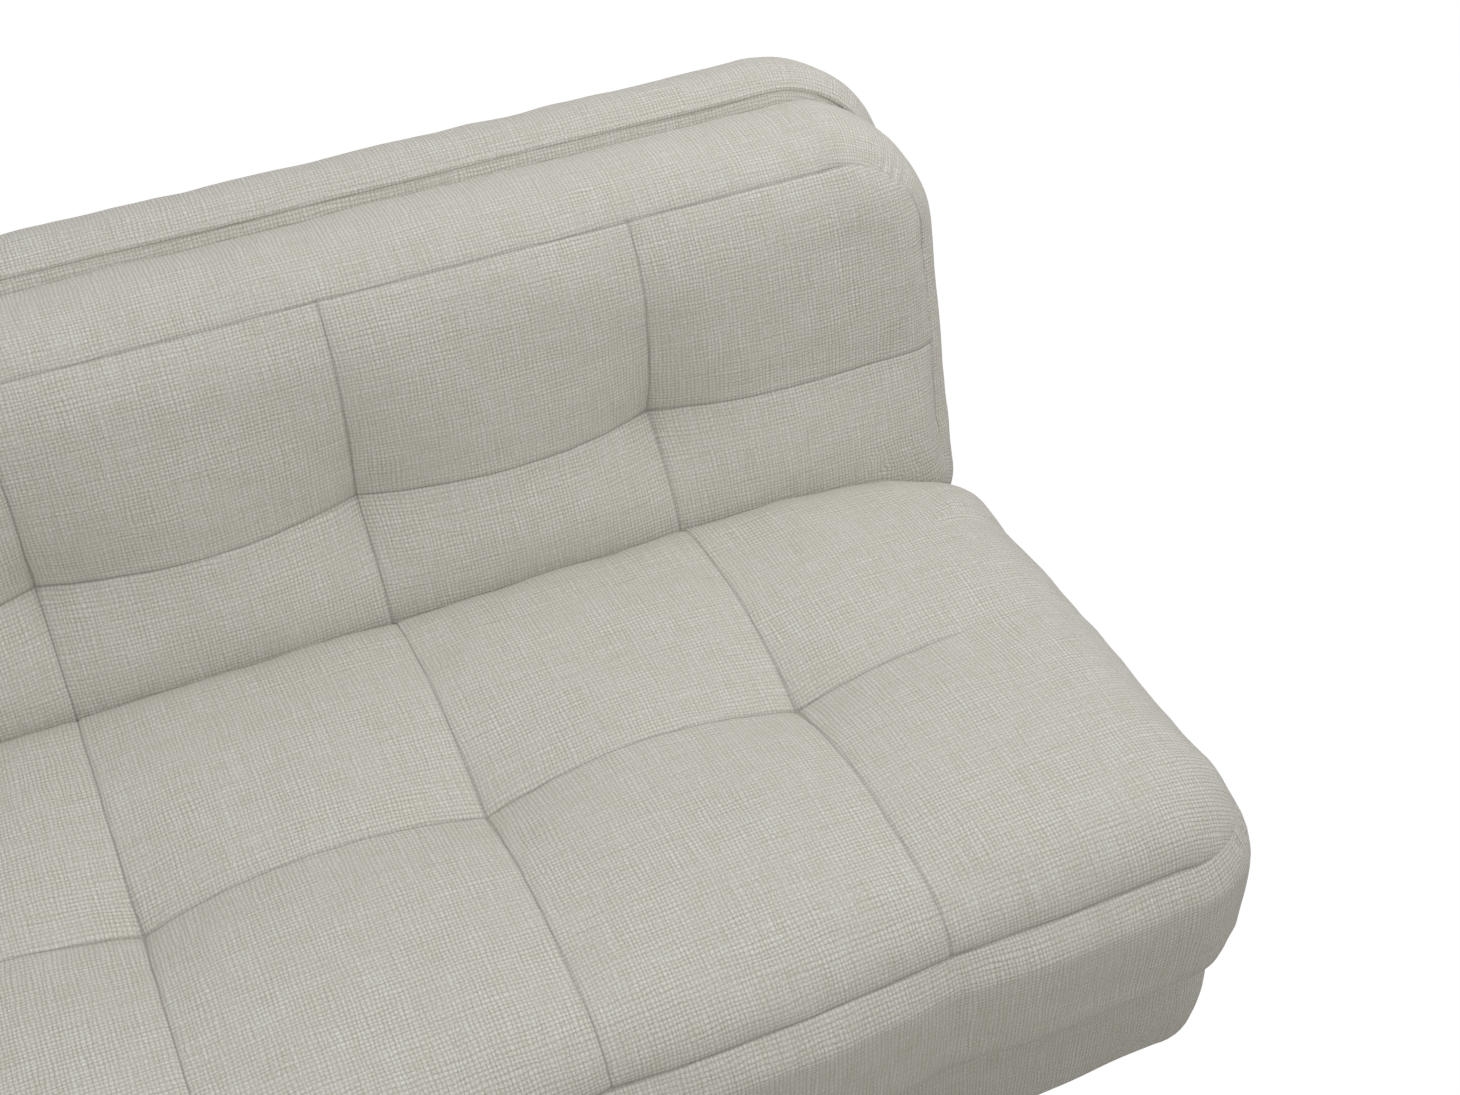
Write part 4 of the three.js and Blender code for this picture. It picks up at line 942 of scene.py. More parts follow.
def plain_weave_group():
    """Plain weave from cloth coordinates: how high, how bright and how loose each yarn lies."""
    group, w, inside, out = new_group(
        "Plain Weave",
        [("Cloth", "NodeSocketVector", None), ("Yarn Pitch", "NodeSocketFloat", 0.0022),
         ("Looseness", "NodeSocketFloat", 0.3)],
        [("Height", "NodeSocketFloat"), ("Tone", "NodeSocketFloat"), ("Patch", "NodeSocketFloat"),
         ("Fuzz", "NodeSocketFloat")],
    )
    cloth, pitch, loose = inside.outputs[0], inside.outputs[1], inside.outputs[2]
    parts = w.node("ShaderNodeSeparateXYZ")
    w.feed(parts.inputs[0], cloth)
    sway_u = w.math("SUBTRACT", w.noise(w.stretched(cloth, (60.0, 18.0, 1.0)), 1.0), 0.5)
    sway_v = w.math("SUBTRACT", w.noise(w.stretched(cloth, (18.0, 60.0, 1.0)), 1.0), 0.5)
    u = w.math("MULTIPLY_ADD", sway_u, w.math("MULTIPLY", loose, 4.0),
               w.math("DIVIDE", parts.outputs[0], pitch))
    v = w.math("MULTIPLY_ADD", sway_v, w.math("MULTIPLY", loose, 4.0),
               w.math("DIVIDE", parts.outputs[1], pitch))
    column, row = w.math("FLOOR", u), w.math("FLOOR", v)
    across_u = w.math("MULTIPLY_ADD", w.math("SUBTRACT", u, column), 2.0, -1.0)
    across_v = w.math("MULTIPLY_ADD", w.math("SUBTRACT", v, row), 2.0, -1.0)
    square_u = w.math("MULTIPLY", across_u, across_u)
    square_v = w.math("MULTIPLY", across_v, across_v)
    warp_over = w.math("FLOORED_MODULO", w.math("ADD", column, row), 2.0)
    across = w.math("ADD", w.math("MULTIPLY", warp_over, square_u),
                    w.math("MULTIPLY", w.math("SUBTRACT", 1.0, warp_over), square_v))
    length = w.math("ADD", w.math("MULTIPLY", warp_over, square_v),
                    w.math("MULTIPLY", w.math("SUBTRACT", 1.0, warp_over), square_u))
    round_yarn = w.math("SQRT", w.math("MAXIMUM", w.math("SUBTRACT", 1.0, across), 0.0))
    height = w.math("MULTIPLY", round_yarn, w.math("MULTIPLY_ADD", length, -0.45, 1.0))
    warp_tone = w.noise(w.stretched(cloth, (420.0, 22.0, 1.0)), 1.0, 1.0)
    weft_tone = w.noise(w.stretched(cloth, (22.0, 420.0, 1.0)), 1.0, 1.0)
    tone = w.math("ADD", w.math("MULTIPLY", warp_over, warp_tone),
                  w.math("MULTIPLY", w.math("SUBTRACT", 1.0, warp_over), weft_tone))
    patch = w.clamped(w.noise(cloth, 14.0, 3.0), 0.38, 0.62, 0.0, 1.0)
    fuzz = w.noise(cloth, 700.0, 2.0, 0.7)
    fuzzy_height = w.math("MULTIPLY_ADD", fuzz, 0.35, w.math("MULTIPLY", height, 0.8))
    w.feed(out.inputs["Height"], fuzzy_height)
    w.feed(out.inputs["Tone"], tone)
    w.feed(out.inputs["Patch"], patch)
    w.feed(out.inputs["Fuzz"], fuzz)
    return group


def timber_grain_group():
    """Straight grain from object coordinates, long along the axis that Along stretches."""
    group, w, inside, out = new_group(
        "Timber Grain",
        [("Place", "NodeSocketVector", None), ("Along", "NodeSocketVector", (1.0, 12.0, 12.0))],
        [("Grain", "NodeSocketFloat"), ("Figure", "NodeSocketFloat")],
    )
    drawn = w.stretched(inside.outputs[0], inside.outputs[1])
    figure = w.noise(drawn, 3.0, 3.0, 0.55)
    rings = w.math("SINE", w.math("MULTIPLY", figure, 60.0))
    grain = w.math("MULTIPLY_ADD", w.noise(drawn, 40.0, 3.0, 0.6), 0.6,
                   w.math("MULTIPLY_ADD", rings, 0.2, 0.2))
    w.feed(out.inputs["Grain"], grain)
    w.feed(out.inputs["Figure"], figure)
    return group


def wear_group():
    """Fine grit and soft smudges from object coordinates, for plates, bolts and plastic."""
    group, w, inside, out = new_group(
        "Wear",
        [("Place", "NodeSocketVector", None), ("Grit Scale", "NodeSocketFloat", 900.0)],
        [("Grit", "NodeSocketFloat"), ("Smudge", "NodeSocketFloat")],
    )
    place, grit_scale = inside.outputs[0], inside.outputs[1]
    w.feed(out.inputs["Grit"], w.noise(place, grit_scale, 2.0, 0.6))
    w.feed(out.inputs["Smudge"], w.clamped(w.noise(place, 22.0, 4.0), 0.35, 0.7, 0.0, 1.0))
    return group


GROUP_MAKERS = {
    "Plain Weave": plain_weave_group,
    "Timber Grain": timber_grain_group,
    "Wear": wear_group,
}


def placed_group(wiring, name):
    """Places a shared group in a tree, making it the first time."""
    group = bpy.data.node_groups.get(name) or GROUP_MAKERS[name]()
    return wiring.node("ShaderNodeGroup", node_tree=group)


class Finish(Wiring):
    """A material's wiring, with its shader and a bump in front of it."""

    def __init__(self, name):
        self.material = bpy.data.materials.new(name)
        self.material.use_nodes = True
        super().__init__(self.material.node_tree)
        self.shader = self.tree.nodes["Principled BSDF"]
        self.bump = self.node("ShaderNodeBump")
        self.feed(self.shader.inputs["Normal"], self.bump.outputs["Normal"])

    def surface(self, colour, roughness, height, relief):
        """Feeds what each finish has, and gives the material."""
        self.feed(self.shader.inputs["Base Color"], colour)
        self.feed(self.shader.inputs["Roughness"], roughness)
        self.feed(self.bump.inputs["Height"], height)
        self.feed(self.bump.inputs["Distance"], relief)
        return self.material

    def dots(self, place, scale, randomness=1.0):
        """Distance to the nearest of many points, for cells and pressed dots."""
        made = self.node("ShaderNodeTexVoronoi")
        self.feed(made.inputs["Vector"], place)
        self.feed(made.inputs["Scale"], scale)
        self.feed(made.inputs["Randomness"], randomness)
        return made.outputs["Distance"]

    def worn(self, grit_scale):
        """The grit and the smudges of a hard surface."""
        wear = placed_group(self, "Wear")
        self.feed(wear.inputs["Place"], self.object_place())
        self.feed(wear.inputs["Grit Scale"], grit_scale)
        return wear.outputs["Grit"], wear.outputs["Smudge"]


def tinted(colour, factor):
    return tuple(channel * factor for channel in colour) + (1.0,)


def cover_cloth(name, shade=1.0):
    """Greige linen-look cloth in a plain weave, with painted shade in the gaps between yarns and a
    painted highlight on their crowns, and darker along its seams.
    """
    cloth = bpy.context.scene.sofa_cloth
    w = Finish(name)
    weave = placed_group(w, "Plain Weave")
    places = w.node("ShaderNodeAttribute", attribute_name="weave")
    seam = w.node("ShaderNodeAttribute", attribute_name="seam")
    w.feed(weave.inputs["Cloth"], places.outputs["Vector"])
    w.feed(weave.inputs["Yarn Pitch"], cloth.yarn_pitch)
    w.feed(weave.inputs["Looseness"], cloth.looseness)
    height, tone, patch, fuzz = (weave.outputs[name] for name in ("Height", "Tone", "Patch", "Fuzz"))
    red, green, blue = cloth.colour
    # Painted shade in the gaps between yarns and a painted highlight on their crowns, from each yarn's
    # height
    depth = w.math("MULTIPLY_ADD", patch, cloth.gap_painted_shade * 0.4, cloth.gap_painted_shade * 0.8)
    painted_gap_shade = w.math("MULTIPLY", w.math("SUBTRACT", MIDDLE_YARN, height), depth)
    slub = w.math("MULTIPLY", w.math("SUBTRACT", tone, 0.5), cloth.slub)
    hairy = w.math("MULTIPLY", w.math("SUBTRACT", fuzz, 0.5), cloth.fuzz)
    bright = w.math("SUBTRACT", w.math("ADD", w.math("ADD", CLOTH_TONE, slub), hairy), painted_gap_shade)
    # A shade below 1 darkens the whole cloth as painted shade, as for the plinth under the seat's
    # overhang
    yarn = w.mix(w.clamped(tone, 0.35, 0.65, 0.0, 1.0),
                 tinted((red, green * 0.985, blue * 0.955), shade),
                 tinted((red * 0.99, green, blue * 1.02), shade))
    scaled = w.node("ShaderNodeVectorMath", operation="SCALE")
    w.feed(scaled.inputs[0], yarn)
    w.feed(scaled.inputs["Scale"], bright)
    stitched = w.math("MULTIPLY", seam.outputs["Fac"], SEAM_LINE_SHARE)
    sewn = w.mix(stitched, scaled.outputs[0], tinted((red, green, blue), SEAM_LINE_TONE * shade))
    w.feed(w.shader.inputs["Sheen Weight"], 0.12)
    w.feed(w.shader.inputs["Sheen Roughness"], 0.6)
    w.feed(w.shader.inputs["Specular IOR Level"], 0.25)
    w.feed(w.bump.inputs["Strength"], 0.75)
    return w.surface(sewn, w.math("MULTIPLY_ADD", tone, 0.1, 0.86), height, cloth.relief)


def foam_material(name):
    """Cream foam with open cells."""
    w = Finish(name)
    place = w.object_place()
    tone = w.clamped(w.noise(place, 9.0, 3.0), 0.3, 0.7, 0.0, 1.0)
    colour = w.mix(tone, (0.80, 0.72, 0.52, 1.0), (0.86, 0.80, 0.62, 1.0))
    return w.surface(colour, 0.9, w.dots(place, 420.0), 0.0012)


def timber_material(name, along):
    """Pale softwood, its grain along the board."""
    w = Finish(name)
    group = placed_group(w, "Timber Grain")
    w.feed(group.inputs["Place"], w.object_place())
    w.feed(group.inputs["Along"], along)
    grain = group.outputs["Grain"]
    colour = w.mix(w.clamped(grain, 0.25, 0.85, 0.0, 1.0),
                   (0.42, 0.255, 0.12, 1.0), (0.66, 0.47, 0.27, 1.0))
    return w.surface(colour, w.math("MULTIPLY_ADD", grain, 0.2, 0.6), grain, 0.0004)


def lining_material(name):
    """Black bonded lining cloth, pressed in a fine grid of dots."""
    w = Finish(name)
    place = w.object_place()
    fibre = w.noise(place, 260.0, 3.0)
    colour = w.mix(fibre, (0.012, 0.012, 0.011, 1.0), (0.035, 0.034, 0.032, 1.0))
    return w.surface(colour, 0.85, w.dots(place, 350.0, 0.2), 0.0004)


def metal_material(name, dark, light, roughness, grit_scale):
    """Plated or painted steel with grit and smudges."""
    w = Finish(name)
    grit, smudge = w.worn(grit_scale)
    w.feed(w.shader.inputs["Metallic"], 1.0)
    return w.surface(w.mix(smudge, dark, light), w.math("MULTIPLY_ADD", smudge, 0.18, roughness),
                     grit, 0.00015)


def foot_material(name):
    """Black moulded plastic with a fine texture."""
    w = Finish(name)
    grit, smudge = w.worn(1400.0)
    colour = w.mix(smudge, (0.012, 0.012, 0.012, 1.0), (0.030, 0.029, 0.027, 1.0))
    return w.surface(colour, w.math("MULTIPLY_ADD", smudge, 0.2, 0.45), grit, 0.0002)


def kept(name, maker, *details):
    """A material by name, made the first time that it is asked for."""
    return bpy.data.materials.get(name) or maker(name, *details)


def dress(piece, body, material, replaced=()):
    """Gives a piece its material, its body and the nodes that it stands for."""
    if not piece.data.materials:
        piece.data.materials.append(material)
    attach(piece, body)
    if replaced:
        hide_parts(*replaced)


# The padded pieces

def seat_form():
    seat, quilting = bpy.context.scene.sofa_seat, bpy.context.scene.sofa_quilting
    front = Edge(seat.front_round, seat.seam_angle, 0.005, radians(26), radians(20))
    rear = Edge(seat.rear_round, seat.seam_angle, 0.003, radians(20), radians(20))
    end = Edge(seat.end_round, seat.seam_angle, 0.003, radians(20), radians(20))
    return PadForm(
        seat.length, seat.depth, seat.height, seat.corner, (front, rear, end), seat.base_round,
        row_seam=seat.row_seam, cross_drop=quilting.seat_cross_drop, crown=quilting.crown,
        gathers=quilting.gathers, bulge=seat.bulge, belly=seat.belly, ease=seat.corner_ease,
        far_sink=seat.rear_corner_sink, far_drop=seat.rear_drop, far_reach=seat.rear_reach,
        far_lean=seat.rear_lean, tight_corner=seat.rear_corner, open_corner=1.0)


def back_form():
    back, quilting = bpy.context.scene.sofa_back, bpy.context.scene.sofa_quilting
    bottom = Edge(back.bottom_round, back.end_seam_angle)
    above_seam = RIGHT_ANGLE - back.top_seam_angle
    top = Edge(back.top_round, back.top_seam_angle, back.top_pinch, radians(34), above_seam)
    end = Edge(back.end_round, back.end_seam_angle, back.end_pinch, radians(17), radians(26))
    depth = back.below_pivot + back.cushion_above
    return PadForm(
        back.length, depth, back.thickness, back.corner, (bottom, top, end), back.base_round,
        row_seam=back.row_seam, cross_drop=quilting.back_cross_drop, near_swell=back.low_swell,
        tight_corner=back.low_corner, tight_side=-1, gathers=quilting.gathers)


def shell_form():
    back = bpy.context.scene.sofa_back
    edge = Edge(back.shell_rear_round, radians(40))
    depth = back.below_pivot + back.shell_above
    height = back.total_thickness - back.thickness - back.touch_gap
    return PadForm(back.length, depth, height, back.shell_corner, (edge, edge, edge),
                   back.shell_front_round)


def slot_outline():
    """The slot's outline about the hinge line: y into the back, z up its face."""
    slot, back = bpy.context.scene.sofa_slot, bpy.context.scene.sofa_back
    bottom = -back.below_pivot - slot.overrun
    rear = back.total_thickness - back.face + slot.overrun
    start = asin(slot.ahead / slot.disc)
    corners = [(-slot.ahead, bottom), (rear, bottom), (rear, slot.above), (0.0, slot.above)]
    for turn in np.linspace(0.0, pi - start, 13):
        corners.append((-slot.disc * sin(turn), slot.disc * cos(turn)))
    return corners


def cut_slots(piece):
    """Opens the two slots at the ends of the back, their walls in black lining."""
    slot = bpy.context.scene.sofa_slot
    outline = slot_outline()
    count = len(outline)
    piece.data.materials.append(kept("cover_linen", cover_cloth))
    for side in ("left", "right"):
        low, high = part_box("pivot_bolt_" + side)
        ends = (low[0] - slot.head_room, high[0] + slot.head_room)
        points = np.array([(end, y, z) for end in ends for y, z in outline])
        faces = [list(range(count))[::-1], list(range(count, 2 * count))]
        faces += [(n, (n + 1) % count, count + (n + 1) % count, count + n) for n in range(count)]
        cutter = mesh_from_faces("slot_cutter", on_back(points), faces)
        cutter.data.materials.append(kept("black_lining", lining_material))
        cut = piece.modifiers.new("slot", "BOOLEAN")
        cut.operation = "DIFFERENCE"
        cut.solver = "EXACT"
        cut.material_mode = "TRANSFER"
        cut.object = cutter
        shaped = piece.evaluated_get(bpy.context.evaluated_depsgraph_get())
        piece.data = bpy.data.meshes.new_from_object(shaped)
        piece.modifiers.clear()
        bpy.data.objects.remove(cutter)


def sheet_for(form, fine=True, base_steps=8):
    """Lays the sheet of a form with many lines, or with few for the simulation."""
    quilting = bpy.context.scene.sofa_quilting
    seams_x = column_seams(quilting) if form.row_seam else []
    seams_y = [form.row_seam] if form.row_seam else []
    step = 0.007 if fine else 0.016
    offsets = SEAM_OFFSETS if fine else ()
    rings = ring_marks(fine, base_steps)
    low_x, high_x = form.corner - form.half, form.half - form.corner
    low_y, high_y = form.corner, form.depth - form.corner
    x_lines = GridLines(low_x, high_x, lines_between(low_x, high_x, seams_x, step, offsets), rings)
    y_lines = GridLines(low_y, high_y, lines_between(low_y, high_y, seams_y, step, offsets), rings)
    return lay_sheet(form, quilting, x_lines, y_lines)


class SOFA_OT_seat_cover(bpy.types.Operator):
    """Makes the quilted cover of the seat"""

    bl_idname = "sofa.seat_cover"
    bl_label = "Seat Cover"

    def execute(self, context):
        seat, back = context.scene.sofa_seat, context.scene.sofa_back
        form = seat_form()
        sheet = sheet_for(form)
        stuff(form, sheet)
        add_needlework(form, context.scene.sofa_quilting, sheet, seed=11, row_end=0.76, ring_fade=0.85)
        front = hinge_line().y - seat.depth - seat.crease_gap - back.below_pivot
        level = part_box("seat_cushion")[0][2]

        def place(points):
            return points + np.array([0.0, front, level])

        piece = pad_piece("seat_cover", form, sheet, place)
        dress(piece, "base", kept("cover_linen", cover_cloth),
              ["seat_cushion"])
        return {"FINISHED"}


class SOFA_OT_back_cover(bpy.types.Operator):
    """Makes the quilted cover of the back"""

    bl_idname = "sofa.back_cover"
    bl_label = "Back Cover"

    def execute(self, context):
        back = context.scene.sofa_back
        form = back_form()
        sheet = sheet_for(form, base_steps=2)
        stuff(form, sheet)
        add_needlework(form, context.scene.sofa_quilting, sheet, seed=37, row_end=0.95, ring_fade=0.85)
        meeting = back.thickness - back.face

        def place(points):
            x, y, z = points.T
            return on_back(np.stack([x, meeting - z, y - back.below_pivot], axis=-1))

        piece = pad_piece("back_cover", form, sheet, place)
        cut_slots(piece)
        dress(piece, "back", kept("cover_linen", cover_cloth),
              ["back_cushion"])
        return {"FINISHED"}


class SOFA_OT_back_shell(bpy.types.Operator):
    """Makes the plain padded layer behind the quilted back"""

    bl_idname = "sofa.back_shell"
    bl_label = "Back Shell"

    def execute(self, context):
        back = context.scene.sofa_back
        form = shell_form()
        sheet = sheet_for(form)
        add_needlework(form, context.scene.sofa_quilting, sheet, seed=53, row_end=0.95, ring_fade=0.3)
        meeting = back.thickness - back.face + back.touch_gap

        def place(points):
            x, y, z = points.T
            return on_back(np.stack([x, meeting + z, y - back.below_pivot], axis=-1))

        piece = pad_piece("shell_cover", form, sheet, place, flip=True)
        cut_slots(piece)
        dress(piece, "back", kept("cover_linen", cover_cloth),
              ["back_shell"])
        return {"FINISHED"}


def band_outline(low, high, corner, step):
    """Points round a rounded rectangle, their outward directions and the length to each."""
    points, ways = [], []
    spans = [
        ((high[0] - corner, low[1] + corner), -RIGHT_ANGLE),
        ((high[0] - corner, high[1] - corner), 0.0),
        ((low[0] + corner, high[1] - corner), RIGHT_ANGLE),
        ((low[0] + corner, low[1] + corner), pi),
    ]
    for n, (centre, start) in enumerate(spans):
        turns = max(6, round(corner * RIGHT_ANGLE / step))
        for turn in np.linspace(0, RIGHT_ANGLE, turns + 1):
            way = (cos(start + turn), sin(start + turn))
            ways.append(way)
            points.append((centre[0] + corner * way[0], centre[1] + corner * way[1]))
        (next_x, next_y), next_start = spans[(n + 1) % len(spans)]
        end = (next_x + corner * cos(next_start), next_y + corner * sin(next_start))
        span = Vector(end) - Vector(points[-1])
        count = max(1, round(span.length / step))
        last, way = points[-1], ways[-1]
        for m in range(1, count):
            points.append((lerp(last[0], end[0], m / count), lerp(last[1], end[1], m / count)))
            ways.append(way)
    points, ways = np.array(points), np.array(ways)
    steps = np.linalg.norm(np.roll(points, -1, axis=0) - points, axis=1)
    return points, ways, np.concatenate([[0.0], np.cumsum(steps)])


def rolled_tube(name, path, ways, across, radius, run, sides=10):
    """A closed round tube along a path, from its outward directions and a third direction."""
    count = len(path)
    turns = [2 * pi * n / sides for n in range(sides)]
    points = [path + radius * (cos(turn) * ways + sin(turn) * across) for turn in turns]
    grid = np.stack(points, axis=1)
    faces, weave = [], []
    girth = 2 * pi * radius / sides
    for a in range(count - 1):
        for n in range(sides):
            m = (n + 1) % sides
            faces.append((a * sides + n, a * sides + m, (a + 1) * sides + m, (a + 1) * sides + n))
            for b, c in ((a, n), (a, n + 1), (a + 1, n + 1), (a + 1, n)):
                weave.append((run[b], c * girth, 0.0))
    for b, order in ((0, range(sides)[::-1]), (count - 1, range(sides))):
        faces.append([b * sides + n for n in order])
        weave += [(run[b], n * girth, 0.0) for n in order]
    piece = mesh_from_faces(name, grid.reshape(-1, 3), faces)
    add_values(piece.data, "weave", "FLOAT_VECTOR", "CORNER", np.array(weave))
    add_values(piece.data, "seam", "FLOAT", "POINT", np.zeros(count * sides))
    return piece


class SOFA_OT_back_piping(bpy.types.Operator):
    """Makes the rolled edge between the two layers of the back"""

    bl_idname = "sofa.back_piping"
    bl_label = "Back Piping"

    def execute(self, context):
        back, slot = context.scene.sofa_back, context.scene.sofa_slot
        depth = back.piping + back.piping_behind
        inset = back.shell_front_round
        inset -= (inset * inset - (inset - depth) ** 2) ** 0.5 - back.piping * 0.4
        low = (inset - back.length / 2, inset - back.below_pivot)
        high = (back.length / 2 - inset, back.shell_above - inset)
        points, ways, run = band_outline(low, high, back.shell_corner - inset, 0.010)
        above = points[:, 1] > slot.above + 2 * back.piping
        points, ways, run = points[above], ways[above], run[:-1][above]
        run = run - run[0]
        sway = 0.0012 * waves(run, run * 0.0, 0.16, 91)
        level = np.full(len(points), back.thickness - back.face + depth) + sway
        path = np.stack([points[:, 0], level, points[:, 1]], axis=-1)
        outward = np.stack([ways[:, 0], np.zeros(len(ways)), ways[:, 1]], axis=-1)
        across = np.array([0.0, 1.0, 0.0])
        piece = rolled_tube("back_piping", path, outward, across, back.piping, run)
        places = on_back(mesh_points(piece.data))
        piece.data.vertices.foreach_set("co", places.astype(np.float32).ravel())
        piece.data.update()
        dress(piece, "back", kept("cover_linen", cover_cloth))
        return {"FINISHED"}


def wrap_profile(plinth, low, high):
    """The wrap's section from its top edge to its lower one, as pairs of inset and height."""
    over, under = plinth.top_round, plinth.edge_round
    upper = [(over * (1 - cos(a)), high - over * (1 - sin(a)))
             for a in np.linspace(RIGHT_ANGLE, 0, 11)[:-1]]
    side = np.linspace(high - over, low + under, 18)
    swell = plinth.belly * np.sin(pi * np.linspace(0, 1, len(side)))
    lower = [(under * (1 - cos(a)), low + under * (1 - sin(a)))
             for a in np.linspace(0, RIGHT_ANGLE, 12)[1:]]
    return upper + list(zip(-swell, side)) + lower


class SOFA_OT_plinth_wrap(bpy.types.Operator):
    """Makes the cloth wrap of the plinth"""

    bl_idname = "sofa.plinth_wrap"
    bl_label = "Plinth Wrap"

    def execute(self, context):
        plinth = context.scene.sofa_plinth
        pads = ["plinth_front_pad", "plinth_rear_pad", "plinth_left_pad", "plinth_right_pad"]
        boxes = [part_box(name) for name in pads]
        low = np.min([box[0] for box in boxes], axis=0)
        high = np.max([box[1] for box in boxes], axis=0)
        points, ways, run = band_outline(low, high, plinth.corner, 0.008)
        profile = wrap_profile(plinth, low[2], high[2])
        inner = [(plinth.pad, low[2]), (plinth.pad, high[2])]
        inset, level = np.array(profile + inner).T
        down = high[2] - level
        count, depth = len(points), len(inset)
        run_grid, down_grid = np.meshgrid(run[:-1], down, indexing="ij")
        slack = plinth.ripple * waves(run_grid, down_grid, 0.16, 71)
        slack += 0.5 * plinth.ripple * waves(run_grid, down_grid * 0.2, 0.09, 72)
        slack *= np.where(np.arange(depth) < len(profile), 1.0, 0.0)
        out = slack - inset - plinth.ripple
        grid = np.stack([
            points[:, None, 0] + ways[:, None, 0] * out,
            points[:, None, 1] + ways[:, None, 1] * out,
            np.broadcast_to(level, out.shape),
        ], axis=-1)
        faces, weave = [], []
        for a in range(count):
            b = (a + 1) % count
            for c in range(depth):
                d = (c + 1) % depth
                faces.append((a * depth + c, a * depth + d, b * depth + d, b * depth + c))
                for along, deep in ((run[a], c), (run[a], d), (run[a + 1], d), (run[a + 1], c)):
                    weave.append((along, -down[deep] + inset[deep], 0.0))
        piece = mesh_from_faces("plinth_wrap", grid.reshape(-1, 3), faces)
        add_values(piece.data, "weave", "FLOAT_VECTOR", "CORNER", np.array(weave))
        add_values(piece.data, "seam", "FLOAT", "POINT", np.zeros(count * depth))
        piece.data.set_sharp_from_angle(angle=radians(40))
        # The plinth's cloth takes painted shade, darker than the cover for the shade under the seat's
        # overhang
        shade = context.scene.sofa_cloth.plinth_painted_shade
        dress(piece, "base", kept("plinth_linen_painted_shade", cover_cloth, shade), pads)
        return {"FINISHED"}


class SOFA_OT_feet(bpy.types.Operator):
    """Makes the smooth moulded feet"""

    bl_idname = "sofa.feet"
    bl_label = "Feet"

    def execute(self, context):
        taper = context.scene.sofa_plinth.foot_taper
        for name in sorted(n for n in frame["nodes"] if n.startswith("foot_")):
            low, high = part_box(name)
            centre = ((low[0] + high[0]) / 2, (low[1] + high[1]) / 2)
            top = (high[0] - low[0]) / 2
            foot = top * taper
            profile = [(0.0, 0.0)]
            profile += [(foot - inset, level) for inset, level in FOOT_LOWER_EDGE]
            profile += [(lerp(foot, top, 0.5), high[2] / 2)]
            profile += [(top - inset, high[2] - down) for inset, down in FOOT_UPPER_EDGE]
            profile += [(0.0, high[2])]
            piece = turned_piece(name.replace("foot_", "moulded_foot_"), profile, centre)
            dress(piece, "base", kept("moulded_foot", foot_material), [name])
        return {"FINISHED"}


def turned_piece(name, profile, centre, steps=48):
    """A piece turned about a vertical axis from pairs of radius and height."""
    rings = profile[1:-1]
    points = [(centre[0], centre[1], profile[0][1])]
    for radius, height in rings:
        for n in range(steps):
            turn = 2 * pi * n / steps
            points.append((centre[0] + radius * cos(turn), centre[1] + radius * sin(turn), height))
    points.append((centre[0], centre[1], profile[-1][1]))
    faces = []
    for n in range(steps):
        after = (n + 1) % steps
        faces.append((0, 1 + after, 1 + n))
        for m in range(len(rings) - 1):
            low, high = 1 + m * steps, 1 + (m + 1) * steps
            faces.append((low + n, low + after, high + after, high + n))
        last = 1 + (len(rings) - 1) * steps
        faces.append((last + n, last + after, len(points) - 1))
    piece = mesh_from_faces(name, np.array(points), faces)
    piece.data.set_sharp_from_angle(angle=radians(50))
    return piece


class SOFA_OT_fillings(bpy.types.Operator):
    """Makes the foam blocks inside the covers"""

    bl_idname = "sofa.fillings"
    bl_label = "Fillings"

    def execute(self, context):
        for node, name, body in (
            ("seat_foam", "seat_foam_block", "base"),
            ("back_foam", "back_foam_block", "back"),
            ("back_filling", "back_filling_block", "back"),
        ):
            mesh = frame["nodes"][node].data.copy()
            mesh.name = name
            piece = bpy.data.objects.new(name, mesh)
            context.scene.collection.objects.link(piece)
            dress(piece, body, kept("cream_foam", foam_material), [node])
        return {"FINISHED"}


def finish_node(name, material):
    """Gives a carried-over node its material."""
    node = frame["nodes"][name]
    node.data.materials.clear()
    node.data.materials.append(material)


class SOFA_OT_woodwork(bpy.types.Operator):
    """Finishes the timber frame, the deck and the dust cloth"""

    bl_idname = "sofa.woodwork"
    bl_label = "Woodwork"

    def execute(self, context):
        alongs = [("timber_x", (1.0, 12.0, 12.0)), ("timber_y", (12.0, 1.0, 12.0)),
                  ("timber_z", (12.0, 12.0, 1.0))]
        for name in frame["nodes"]:
            if name.endswith(("_rail", "_stile", "_board")) or name.startswith("seat_slat"):
                low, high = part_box(name)
                longest = int(np.argmax(np.array(high) - np.array(low)))
                label, along = alongs[longest]
                finish_node(name, kept(label, timber_material, along))
        for name in ("plinth_deck", "dust_cloth"):
            finish_node(name, kept("black_lining", lining_material))
        return {"FINISHED"}


class SOFA_OT_hinges(bpy.types.Operator):
    """Finishes the hinge plates, pawls, springs, pins and bolts"""

    bl_idname = "sofa.hinges"
    bl_label = "Hinges"

    def execute(self, context):
        dark = ("hinge_steel", (0.030, 0.032, 0.034, 1.0), (0.060, 0.062, 0.064, 1.0), 0.38, 700.0)
        bright = ("zinc_plate", (0.46, 0.46, 0.44, 1.0), (0.60, 0.60, 0.58, 1.0), 0.26, 1200.0)
        for name in frame["nodes"]:
            for starts, (label, *details) in (
                (("hinge_",), dark),
                (("pawl_", "pivot_bolt", "bracket_bolt", "arm_bolt"), bright),
            ):
                if name.startswith(starts):
                    finish_node(name, kept(label, metal_material, *details))
        return {"FINISHED"}


def seen_straight(wiring):
    """1 for what the camera sees, also in gloss and through glass, and 0 for the light."""
    path = wiring.node("ShaderNodeLightPath")
    mirrored = wiring.math("MAXIMUM", path.outputs["Is Glossy Ray"],
                           path.outputs["Is Transmission Ray"])
    return wiring.math("MAXIMUM", path.outputs["Is Camera Ray"], mirrored)


